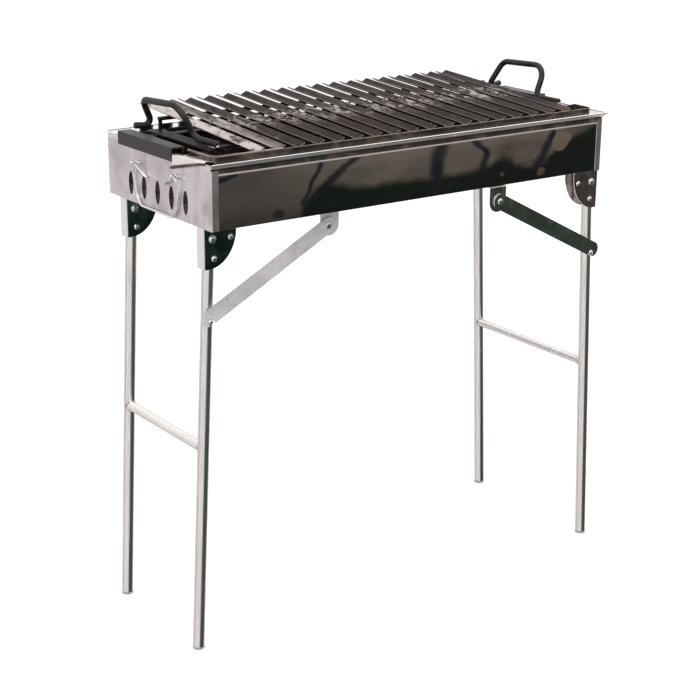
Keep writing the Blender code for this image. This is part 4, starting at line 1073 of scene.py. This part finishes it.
# ================================================================ stays
for side, s in (("left", -1), ("right", 1)):
    tlo, thi = B("stay_tab_" + side)
    slo, shi = B("folding_stay_" + side)
    y_out = tlo[1]
    TT = 1.2
    px_, pz_ = s * STAY_PX, STAY_PZ
    tc, tr = (tlo[0] + thi[0]) / 2, (thi[0] - tlo[0]) / 2
    L = rounded([(y_out, 600), (y_out, CH_Z1), (y_out + 22, CH_Z1), (y_out + 22, CH_Z1 - TT), (y_out + TT, CH_Z1 - TT), (y_out + TT, 600)],
                [0, 2.0, 0.3, 0.3, 0.9, 0], 5)
    bar_ = prism(L, tc - 40, tc + 40, YZ(0))
    sil = [(tc - tr, CH_Z1 + 3), (tc - tr, pz_)]
    sil += [(tc - tr * math.cos(math.radians(a)), pz_ - tr * math.sin(math.radians(a))) for a in range(5, 180, 5)]
    sil += [(tc + tr, pz_), (tc + tr, CH_Z1 + 3)]
    tab = boolean(bar_, prism(sil, -300, 300, XZ(0)), "INTERSECT")
    tab = boolean(tab, prism(circle(px_, pz_, 2.9, 24), -6, 6, XZ(y_out)), "DIFFERENCE")
    put("tab_" + side, tab, SATIN_W if side == "left" else TAB_R_M, "fire_box", "mirror_steel", "stay_tab_" + side)

    y_st = (slo[1] + shi[1]) / 2
    ST = shi[1] - slo[1]
    sx, sz = leg_x(s, STUD_Z), STUD_Z
    d0 = Vector((sx - px_, sz - pz_)).normalized()
    low = Vector((d0.y, -d0.x)) if s > 0 else Vector((-d0.y, d0.x))
    if low.y > 0:
        low = -low
    R = 12.5
    m0, m1 = Vector((px_, pz_)), Vector((sx, sz)) - low * 7.0
    w = (m1 - m0).normalized()
    n = -low if abs(low.dot(w)) < 0.2 else Vector((-w.y, w.x))
    n = Vector((-w.y, w.x))
    if n.y < 0:
        n = -n
    loop = []
    for i in range(33):
        a = math.radians(-90 + 180 * i / 32)
        e = m1 + w * (R * math.cos(a)) + n * (R * math.sin(a))
        loop.append(Vector((e.x, e.y)))
    for i in range(33):
        a = math.radians(-90 + 180 * i / 32)
        e = m0 - w * (R * math.cos(a)) - n * (R * math.sin(a))
        loop.append(Vector((e.x, e.y)))
    base = prism(loop, -ST / 2 + 0.02, ST / 2 - 0.02, XZ(y_st))
    # hook notch: round seat for the stud, with a mouth that opens down and inboard
    nr = 4.9
    seat = prism(circle(sx, sz, nr, 40), -8, 8, XZ(y_st))
    dn = (-n * 1.0 + Vector((-s, 0.0)) * 0.25).normalized()
    q = Vector((-dn.y, dn.x)) * (nr - 0.6)
    P = Vector((sx, sz))
    mouth = prism([P - q, P - q * 1.25 + dn * 22, P + q * 1.25 + dn * 22, P + q], -8, 8, XZ(y_st))
    stay = boolean(boolean(base, seat, "DIFFERENCE"), mouth, "DIFFERENCE")
    stay = boolean(stay, prism(circle(px_, pz_, 2.75, 24), -8, 8, XZ(y_st)), "DIFFERENCE")
    ob = put("stay_" + side, stay, SATIN_W if side == "left" else STAY_R, side + "_stay", "satin_steel", "folding_stay_" + side)
    bv = ob.modifiers.new("edge", "BEVEL")
    bv.width = 0.00028
    bv.segments = 2
    bv.limit_method = "ANGLE"
    bv.angle_limit = math.radians(50)
    ob.modifiers.move(1, 0)

    yh = slo[1] - 0.4
    prof = [(p[0], p[1]) for p in dome(5.3, 2.0, 8)] + [(5.3, 0.1), (2.5, 0.0), (2.5, -(ST + 0.4 + 0.5 + TT + 0.2)), (3.9, -(ST + 1.1 + TT)), (3.9, -(ST + 1.4 + TT)), (0.0, -(ST + 1.5 + TT))]
    put("stay_pin_" + side, lathe(prof, (px_, yh, pz_), (0, -1, 0), 36), ZINC, side + "_stay_pivot", "zinc_fixings", "stay_rivet_" + side, weighted=False)
    hlo, hhi = B("hook_stud_" + side)
    prof = [(0.0, 1.0), (1.6, 0.85), (2.9, 0.35), (3.6, -0.3), (3.8, -0.9), (3.8, -(ST + 0.5 + TT + 0.9)), (3.0, -(ST + 0.6 + TT + 0.9)), (3.0, -(ST + 0.5 + TT + 3.0)), (0.0, -(ST + 0.5 + TT + 3.0))]
    put("stud_" + side, lathe(prof, (sx, slo[1], sz), (0, -1, 0), 36), ZINC, side + "_leg_frame", "zinc_fixings", "hook_stud_" + side, weighted=False)

# ================================================================ bails on the ends
for side, s in (("left", -1), ("right", 1)):
    bx = s * EYE_X
    half = [(28, 709), (50.8, 723.2), (54.8, BAIL_Z), (61.1, BAIL_Z), (63.5, 722.0), (66.5, 705), (57, 675), (46, 663.5)]
    path = [Vector((bx, y, z)) for y, z in half] + [Vector((bx, -y, z)) for y, z in reversed(half)]
    for p in path:
        # the wire hangs nearer the panel than its eyes
        p.x -= s * 4.5 * max(0.0, min(1.0, (BAIL_Z - p.z) / 12.0))
    pts = rounded(path, [0, 3.0, 1.5, 1.5, 3.0, 9.0, 8.0, 5.0, 5.0, 8.0, 9.0, 3.0, 1.5, 1.5, 3.0, 0], 5, closed=False)
    pts, rad = rod_ends(pts, 1.75, 0.4)
    put("bail_" + side, sweep(pts, rad, 14), ZINC, side + "_bail", "zinc_fixings", "bail_handle_" + side, weighted=False, sharp=60)
    for fb, ys in (("front", -1), ("back", 1)):
        yb = ys * BAIL_Y
        ring = [(bx + 4.0 * math.cos(2 * math.pi * i / 36), yb, BAIL_Z + 4.0 * math.sin(2 * math.pi * i / 36)) for i in range(36)]
        eye = sweep(ring, 1.3, 12, closed=True)
        prof = [(0.0, 4.2), (1.7, 4.2), (1.9, 3.6), (1.9, 1.6), (4.0, 1.6), (4.5, 1.1), (4.5, 0.25), (2.3, 0.25), (2.3, -1.2), (4.0, -1.2), (4.2, -1.5), (4.2, -3.0), (0.0, -3.0)]
        stem = lathe(prof, (s * HX, yb, BAIL_Z), (s, 0, 0), 28)
        put("eye_%s_%s" % (side, fb), boolean(eye, stem, "UNION"), ZINC, "fire_box", "zinc_fixings", "bail_eye_%s_%s" % (side, fb), weighted=False, sharp=50)

# ================================================================ lift-off grate
LIFT = "grate_unit"
NBAR, BAR_X0, PITCH = 18, -288.0, 34.8
HALF, DEPTH, BT = 11.5, 5.5, 1.6
BY0, BY1, BZ0, BZ1 = -137.0, 184.0, 770.8, 790.5


def bar_z(y):
    return BZ0 + (y - BY0) / (BY1 - BY0) * (BZ1 - BZ0)


XF = HX + 8.5


def end_bar(s, y0, y1, wave):
    loop = rounded([(s * XF, 748.0), (s * XF, 768.0), (s * 361.0, 768.0), (s * 361.0, 757.3), (s * 363.2, 757.3), (s * 363.2, 765.8),
                    (s * (XF - 1.8), 765.8), (s * (XF - 1.8), 748.0)], [0.5, 1.6, 1.2, 0.5, 0.5, 1.0, 1.0, 0.5], 4)
    if s > 0:
        loop = loop[::-1]

    def fn(v):
        v.x += s * 0.1 * noise.noise(Vector((v.y * 0.03, v.z * 0.05, wave)))
        v.z += 0.3 * noise.noise(Vector((v.y * 0.025, 7.0, wave)))
        return v
    return prism(loop, y0, y1, XZ(0) @ Matrix.Scale(-1, 4, (0, 0, 1)), 14, fn)


llo, lhi = B("frame_bar_left")
rlo, rhi = B("frame_bar_right")
put("end_bar_left", end_bar(-1, llo[1], lhi[1], 1.0), BLACK_BAR, LIFT, "black_frame", "frame_bar_left")
put("end_bar_right", end_bar(1, rlo[1], rhi[1], 5.0), BLACK_BAR, LIFT, "black_frame", "frame_bar_right")

xr = B("frame_back_rail")[1][0]
loop = rounded([(84.0, 757.0), (101.0, 757.0), (101.0, 742.0), (99.0, 742.0), (99.0, 755.0), (84.0, 755.0)], [0.5, 1.8, 0.5, 0.5, 0.8, 0.5], 4)
put("back_rail", prism(loop, -xr, xr, YZ(0), 1), BLACK, LIFT, "black_frame", "frame_back_rail")

# drip trough: pressed tray with rounded corners, tall front wall with a rolled top edge
tlo, thi = B("drip_trough")
TX0, TX1, TY0, TY1 = tlo[0], thi[0], tlo[1], thi[1]


def trough():
    """Lofted shell: outside rings up, round the lip, inside rings down."""
    bm = bmesh.new()

    def ring(inset, z, rc, front_z=None):
        out = []
        pts = rounded([(TX0 + inset, TY0 + inset), (TX1 - inset, TY0 + inset), (TX1 - inset, TY1 - inset), (TX0 + inset, TY1 - inset)], rc, 8)
        P = []
        for a, b in zip(pts, pts[1:] + pts[:1]):
            P.append(a)
            if (b - a).length > 40:
                k = int((b - a).length / 24)
                for i in range(1, k):
                    P.append(a.lerp(b, i / k))
        for p in P:
            zz = z
            if front_z is not None:
                # the front and side walls stand higher; they ramp down before the back wall
                t = max(0.0, min(1.0, (p.y - (TY1 - 20.0)) / 7.0))
                t = t * t * (3 - 2 * t)
                zz = front_z * (1 - t) + z * t
            out.append(bm.verts.new((p.x, p.y, zz)))
        return out
    rings = [ring(7.0, 742.0, 8.0), ring(3.0, 742.3, 10.0), ring(0.9, 744.0, 12.0), ring(0.5, 748.0, 12.0),
             ring(0.4, 755.8, 12.0, 766.6), ring(0.0, 756.5, 12.2, 767.3), ring(0.05, 756.95, 12.2, 767.9), ring(0.8, 757.0, 11.6, 768.1),
             ring(1.5, 756.9, 11.0, 767.8), ring(1.75, 756.2, 11.0, 767.0), ring(1.6, 748.0, 11.0), ring(2.3, 744.9, 11.0), ring(4.2, 743.5, 9.0), ring(8.0, 743.2, 8.0)]
    n = len(rings[0])
    for r0, r1 in zip(rings, rings[1:]):
        for i in range(n):
            bm.faces.new((r0[i], r0[(i + 1) % n], r1[(i + 1) % n], r1[i]))
    bm.faces.new(rings[0][::-1])
    bm.faces.new(rings[-1])
    return to_mesh(bm, 1e-4)


put("trough", trough(), TROUGH, LIFT, "black_frame", "drip_trough", sharp=40)

# end lip of the trough, hooked over the end panel's rim on the left
def wing():
    bm = bmesh.new()
    rows = []
    for k in range(17):
        t = k / 16
        y = -60.0 - 88.0 * t
        drop = 17.0 * (1 - t) ** 1.15 + 0.5
        x0, x1 = -371.0, -382.6 - 0.6 * (1 - t)
        zt = 760.2 + 3.4 * t
        top = [(x0 + 5.0 * t, zt - 1.6), (x0 - 5.0, zt), (x1 + 1.4, zt - 0.2), (x1, zt - 1.4), (x1 - 0.5, zt - 1.4 - drop * 0.6), (x1 - 0.3, zt - 1.2 - drop)]
        lip = [(x1 - 1.5, zt - 2.2 - drop), (x1 - 1.3, zt - 3.2 - drop), (x1 - 0.2, zt - 3.3 - drop)]
        outer = top + lip
        inner = [(x1 + 0.55, zt - 2.3 - drop), (x1 + 0.45, zt - 1.2 - drop), (x1 + 0.3, zt - 1.6 - drop * 0.6), (x1 + 0.9, zt - 1.7), (x1 + 1.8, zt - 0.95), (x0 - 5.0, zt - 0.8), (x0 + 5.0 * t, zt - 2.4)]
        ring = [bm.verts.new((x, y, z)) for x, z in outer + inner]
        rows.append(ring)
    n = len(rows[0])
    for a, b in zip(rows, rows[1:]):
        for i in range(n):
            bm.faces.new((a[i], a[(i + 1) % n], b[(i + 1) % n], b[i]))
    bm.faces.new(rows[0][::-1])
    bm.faces.new(rows[-1])
    return to_mesh(bm, 1e-4)


def mat_wing():
    g = G("trough_lip_painted_shade")
    n = g.noise((0.05, 0.03, 0.05), 5.0, 0.6, 0.6, 3.0)
    top = g.mix(n, (0.86, 0.80, 0.80), (0.98, 0.94, 0.93))
    painted_shade_brown = g.mix(n, (0.13, 0.09, 0.07), (0.42, 0.33, 0.28))
    geo = g.t.nodes.new("ShaderNodeNewGeometry")
    dn = g.vec("DOT_PRODUCT", geo.outputs["Normal"], (0, 0, 1))
    # painted shade: below a sloping line along the rolled lower edge the lip is painted dark brown
    line = g.math("MULTIPLY_ADD", g.math("ADD", g.y, 52.0), -0.172, 742.2)
    k = g.step(g.math("SUBTRACT", g.z, line), 1.6, -0.6)
    return g.done(g.mix(k, top, painted_shade_brown), g.rng(n, 0.3, 0.8, 0.16, 0.34), 0.9, g.bump(n, 0.2, 0.0006))


put("trough_end_lip", wing(), mat_wing(), LIFT, "black_frame", sharp=40)
pts, rad = [], []
for k in range(17):
    t = k / 16
    pts.append((-384.4 - 0.4 * (1 - t), -58.0 - 92.0 * t, 757.0 + 3.4 * t - 17.0 * (1 - t) ** 1.15))
    rad.append(2.5 * (0.7 if k == 0 else 1.0) * (1.0 - 0.3 * t))
put("trough_lip_roll", sweep(pts, rad, 12), CHAR, LIFT, "black_frame", sharp=60, weighted=False)
# rolled rim round the open left end of the trough
pts = rounded([Vector((-366.4, -75.5, 766.0)), Vector((-366.4, -143.9, 766.4)), Vector((-250.0, -144.1, 766.6))], [0, 13.0, 0], 10, closed=False)
pts, rad = rod_ends(pts, 2.5, 1.0)
put("trough_rim_roll", sweep(pts, rad, 14), TROUGH, LIFT, "black_frame", sharp=60, weighted=False)

# flat side straps, straightened by hand: slightly wavy
for side in ("left", "right"):
    a, b = B("grate_side_strap_" + side)

    def fn(v):
        v.z += 0.18 * noise.noise(Vector((v.y * 0.03, 3.0, a[0])))
        return v
    loop = rounded([(a[0], a[2]), (b[0], a[2]), (b[0], b[2]), (a[0], b[2])], 0.5, 3)
    put("strap_" + side, prism(loop, a[1], b[1], XZ(0) @ Matrix.Scale(-1, 4, (0, 0, 1)), 12, fn), BLACK, LIFT, "black_frame", "grate_side_strap_" + side)
    a, b = B("grate_post_" + side)
    loop = rounded([(a[0], a[1]), (b[0], a[1]), (b[0], b[1]), (a[0], b[1])], 0.4, 3)
    put("post_" + side, prism(loop, a[2] - 0.25, b[2] + 0.4, XY(0)), BLACK, LIFT, "black_frame", "grate_post_" + side)

# V bars, each a folded strip, a little warped by heat
TILT = math.atan2(DEPTH, HALF)
EX, EZ, KV = BT * math.sin(TILT), BT * math.cos(TILT), BT / math.cos(TILT)
first = None
for k in range(NBAR):
    x = BAR_X0 + PITCH * k
    twist = RND.uniform(-0.03, 0.03)
    bow = RND.uniform(-0.7, 0.7)
    lift = RND.uniform(-0.35, 0.35)
    dx = RND.uniform(-0.5, 0.5)
    v2 = [(-HALF, 0.0), (0.0, -DEPTH), (HALF, 0.0), (HALF + EX, -EZ), (0.0, -DEPTH - KV), (-HALF - EX, -EZ)]
    loop = rounded(v2, [0.3, 1.6, 0.3, 0.4, 3.4, 0.4], 4)[::-1]

    def fn(v):
        y = v.y
        t = (y - BY0) / (BY1 - BY0)
        lx, lz = v.x, v.z
        a = twist * (t - 0.5) * 2
        lx, lz = lx * math.cos(a) - lz * math.sin(a), lx * math.sin(a) + lz * math.cos(a)
        wx = bow * math.sin(math.pi * t) * 0.8 + 0.25 * noise.noise(Vector((y * 0.02, k * 3.1, 0.0)))
        wz = 0.35 * noise.noise(Vector((y * 0.018, k * 2.3, 9.0))) + lift * 0.6
        return Vector((x + dx + lx + wx, y, bar_z(y) - 0.1 + lz + wz))
    me = prism(loop, BY0, BY1, XZ(0) @ Matrix.Scale(-1, 4, (0, 0, 1)), 20, fn)
    ob = put("v_bar_%02d" % (k + 1), me, BARM, LIFT, "seared_steel", sharp=38)
    if first is None:
        first = ob
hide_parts("grate_v_bars")
for nm, y in (("front", -78.0), ("rear", 110.0)):
    z = bar_z(y) - DEPTH - KV - 3.2 + 1.2
    pts, rad = rod_ends([(-314.0 if y < 0 else -309.0, y, z), (-100, y, z), (100, y, z), (341.0, y, z)], 3.2, 0.6)
    put("cross_rod_" + nm, sweep(pts, rad, 18), BLACK, LIFT, "black_frame", sharp=45, weighted=False)
    for k in range(NBAR):
        x = BAR_X0 + PITCH * k
        for e in (-1, 1):
            pts = [(x + 2.8 * math.cos(math.pi * i / 6), y + e * 2.7, z + 2.2 + 0.5 * math.sin(math.pi * i / 6)) for i in range(7)]
            rad = [0.5, 1.0, 1.3, 1.4, 1.25, 1.0, 0.5]
            put("bar_weld_%s_%02d_%s" % (nm, k + 1, "a" if e < 0 else "b"), sweep(pts, rad, 8), WELD, LIFT, "seared_steel", sharp=60, weighted=False)

# lifting handles, bent from round bar: upright hoops leaning outwards, with welds at the front feet
HANDLES = {
    "left": [(-350.0, 108.5, 771.0), (-317.0, 112.5, 767.5), (-338.0, 105.0, 810.0), (-339.5, -8.0, 817.0),
             (-317.5, -12.0, 767.5), (-313.0, -72.0, 767.0)],
    "right": [(377.0, 110.0, 772.0), (346.0, 105.5, 768.0), (367.0, 90.0, 813.0), (369.0, -15.0, 818.0),
              (347.0, -17.0, 768.0), (347.0, -75.0, 768.0)],
}
for side, P in HANDLES.items():
    pts = rounded(P, [0, 13.0, 17.0, 30.0, 15.0, 0], 10, closed=False)
    pts, rad = rod_ends(pts, 5.0, 0.7)
    put("handle_" + side, sweep(pts, rad, 24), BLACK, LIFT, "black_frame", "lifting_handle_" + side, sharp=50, weighted=False)
    xf, yf = P[5][0], P[5][1]
    for e in (-1, 1):
        pts, rad = [], []
        for i in range(15):
            t = i / 14
            pts.append((xf + e * 4.0, yf + 3 + 17 * t, 762.0 + 0.3 * math.sin(i * 2.1)))
            rad.append((1.7 + 0.35 * math.sin(i * 2.4)) * (0.45 + 0.55 * math.sin(math.pi * min(max(t, 0.06), 0.94)) ** 0.5))
        put("handle_weld_%s_%s" % (side, "a" if e < 0 else "b"), sweep(pts, rad, 10), WELD, LIFT, "black_frame", sharp=60, weighted=False)
    # weld lump where the foot meets the front cross rod
    pts = [(xf + d, yf - 1.0 + 0.4 * math.sin(d), 767.0 - 2.2 + 0.3 * math.cos(d * 1.7)) for d in (-5, -3, -1, 1, 3, 5)]
    put("foot_weld_" + side, sweep(pts, [0.8, 1.9, 2.3, 2.2, 1.8, 0.7], 10), WELD, LIFT, "black_frame", sharp=60, weighted=False)

# any CAD node still shown gets the black paint
for n, o in frame["nodes"].items():
    if not o.hide_render:
        o.data.materials.clear()
        o.data.materials.append(BLACK)

# ================================================================ stage
bm = bmesh.new()
bmesh.ops.create_grid(bm, x_segments=2, y_segments=2, size=14.0)
me = bpy.data.meshes.new("floor")
bm.to_mesh(me)
bm.free()
floor = bpy.data.objects.new("floor", me)
bpy.context.scene.collection.objects.link(floor)
floor.location = (0, 0, -0.0006)
fm = bpy.data.materials.new("pale_floor")
fm.use_nodes = True
t = fm.node_tree
b = t.nodes["Principled BSDF"]
b.inputs["Base Color"].default_value = (0.94, 0.94, 0.94, 1)
b.inputs["Roughness"].default_value = 0.95
b.inputs["Specular IOR Level"].default_value = 0.0
b.inputs["Emission Color"].default_value = (1, 1, 1, 1)
b.inputs["Emission Strength"].default_value = 0.16
me.materials.append(fm)
floor.visible_glossy = False

world = bpy.data.worlds.new("studio")
bpy.context.scene.world = world
world.use_nodes = True
wt = world.node_tree
for n in list(wt.nodes):
    wt.nodes.remove(n)


class W(G):
    def __init__(self, tree):
        self.t = tree


w = W(wt)
tc = wt.nodes.new("ShaderNodeTexCoord")
D = tc.outputs["Generated"]
sp = wt.nodes.new("ShaderNodeSeparateXYZ")
w.link(D, sp.inputs[0])
dx, dy, dz = sp.outputs
az = w.math("MULTIPLY", w.math("ARCTAN2", dx, w.math("MULTIPLY", dy, -1.0)), 57.29578)   # 0 towards -Y, + towards +X
el = w.math("MULTIPLY", w.math("ARCSINE", dz), 57.29578)
nz = wt.nodes.new("ShaderNodeTexNoise")
nz.inputs["Scale"].default_value = 3.0
nz.inputs["Detail"].default_value = 3.0
w.link(D, nz.inputs["Vector"])
nf = nz.outputs["Fac"]
elw = w.math("ADD", el, w.math("MULTIPLY", w.math("SUBTRACT", nf, 0.5), 8.0))
# bright studio all round, brightest overhead
sky = w.ramp(w.rng(elw, -60.0, 90.0, 0.0, 1.0), [(0.0, (0.62, 0.60, 0.61)), (0.30, (0.78, 0.75, 0.765)), (0.42, (0.90, 0.87, 0.88)), (0.55, (0.98, 0.97, 0.97)), (1.0, (1.1, 1.1, 1.1))])
# a darker side of the room: greenery low down, brownish grey above
dark = w.ramp(w.rng(elw, -40.0, 20.0, 0.0, 1.0), [(0.0, (0.055, 0.075, 0.062)), (0.36, (0.050, 0.068, 0.058)), (0.46, (0.115, 0.105, 0.095)), (0.60, (0.16, 0.14, 0.13)), (0.85, (0.45, 0.42, 0.41)), (1.0, (0.9, 0.88, 0.88))])
azc = w.math("ABSOLUTE", w.math("SUBTRACT", az, 38.0))
win = w.step(w.math("ADD", azc, w.math("MULTIPLY", w.math("SUBTRACT", nf, 0.5), 14.0)), 62.0, 38.0)
elf = w.step(el, 24.0, 4.0)
env = w.mix(w.math("MULTIPLY", win, elf), sky, dark)
# a narrow grey strip behind, so tubes show a second dark line
az2 = w.math("ABSOLUTE", w.math("SUBTRACT", az, -128.0))
env = w.mix(w.math("MULTIPLY", w.math("MULTIPLY", w.step(az2, 16.0, 9.0), w.step(el, 30.0, 12.0)), 0.55), env, (0.22, 0.21, 0.21))
lp = wt.nodes.new("ShaderNodeLightPath")
base_ = w.mix(lp.outputs["Is Glossy Ray"], (0.96, 0.96, 0.965), env)
final = w.mix(lp.outputs["Is Camera Ray"], base_, (1.0, 1.0, 1.0))
bg = wt.nodes.new("ShaderNodeBackground")
w.link(final, bg.inputs["Color"])
bg.inputs["Strength"].default_value = 1.0
wo = wt.nodes.new("ShaderNodeOutputWorld")
w.link(bg.outputs[0], wo.inputs["Surface"])


def area(name, loc, target, size, power, color=(1, 1, 1)):
    l = bpy.data.lights.new(name, "AREA")
    l.shape = "RECTANGLE"
    l.size, l.size_y = size
    l.energy = power
    l.color = color
    o = bpy.data.objects.new(name, l)
    bpy.context.scene.collection.objects.link(o)
    o.location = loc
    o.rotation_mode = "QUATERNION"
    o.rotation_quaternion = (Vector(target) - Vector(loc)).to_track_quat("-Z", "Y")
    return o


area("key_softbox", (-2.2, -1.6, 2.9), (0, 0, 0.6), (1.6, 1.2), 34)
area("fill_softbox", (2.4, 1.8, 2.6), (0, 0, 0.7), (1.8, 1.4), 16)

# ================================================================ camera at the reference angle
cam = bpy.data.cameras.new("camera")
cam.sensor_width = 36.0
cam.lens = 1629.79 / 700.0 * 36.0
co = bpy.data.objects.new("camera", cam)
bpy.context.scene.collection.objects.link(co)
co.location = (-2.0326 * 0.75, -2.7384 * 0.75 - SY * 0.001, 1.6401 * 0.75)
A, E, RO = math.radians(-36.1625), math.radians(18.4353), math.radians(0.5492)
d = Vector((-math.sin(A) * math.cos(E), math.cos(A) * math.cos(E), -math.sin(E)))
r = d.cross(Vector((0, 0, 1))).normalized()
u = r.cross(d)
r2, u2 = r * math.cos(RO) + u * math.sin(RO), -r * math.sin(RO) + u * math.cos(RO)
co.rotation_mode = "QUATERNION"
co.rotation_quaternion = Matrix((r2, u2, -d)).transposed().to_quaternion()
cam.clip_start, cam.clip_end = 0.05, 60
bpy.context.scene.camera = co
bpy.context.scene.view_settings.view_transform = "Standard"

if OPEN:
    print("OPEN MESHES", OPEN)
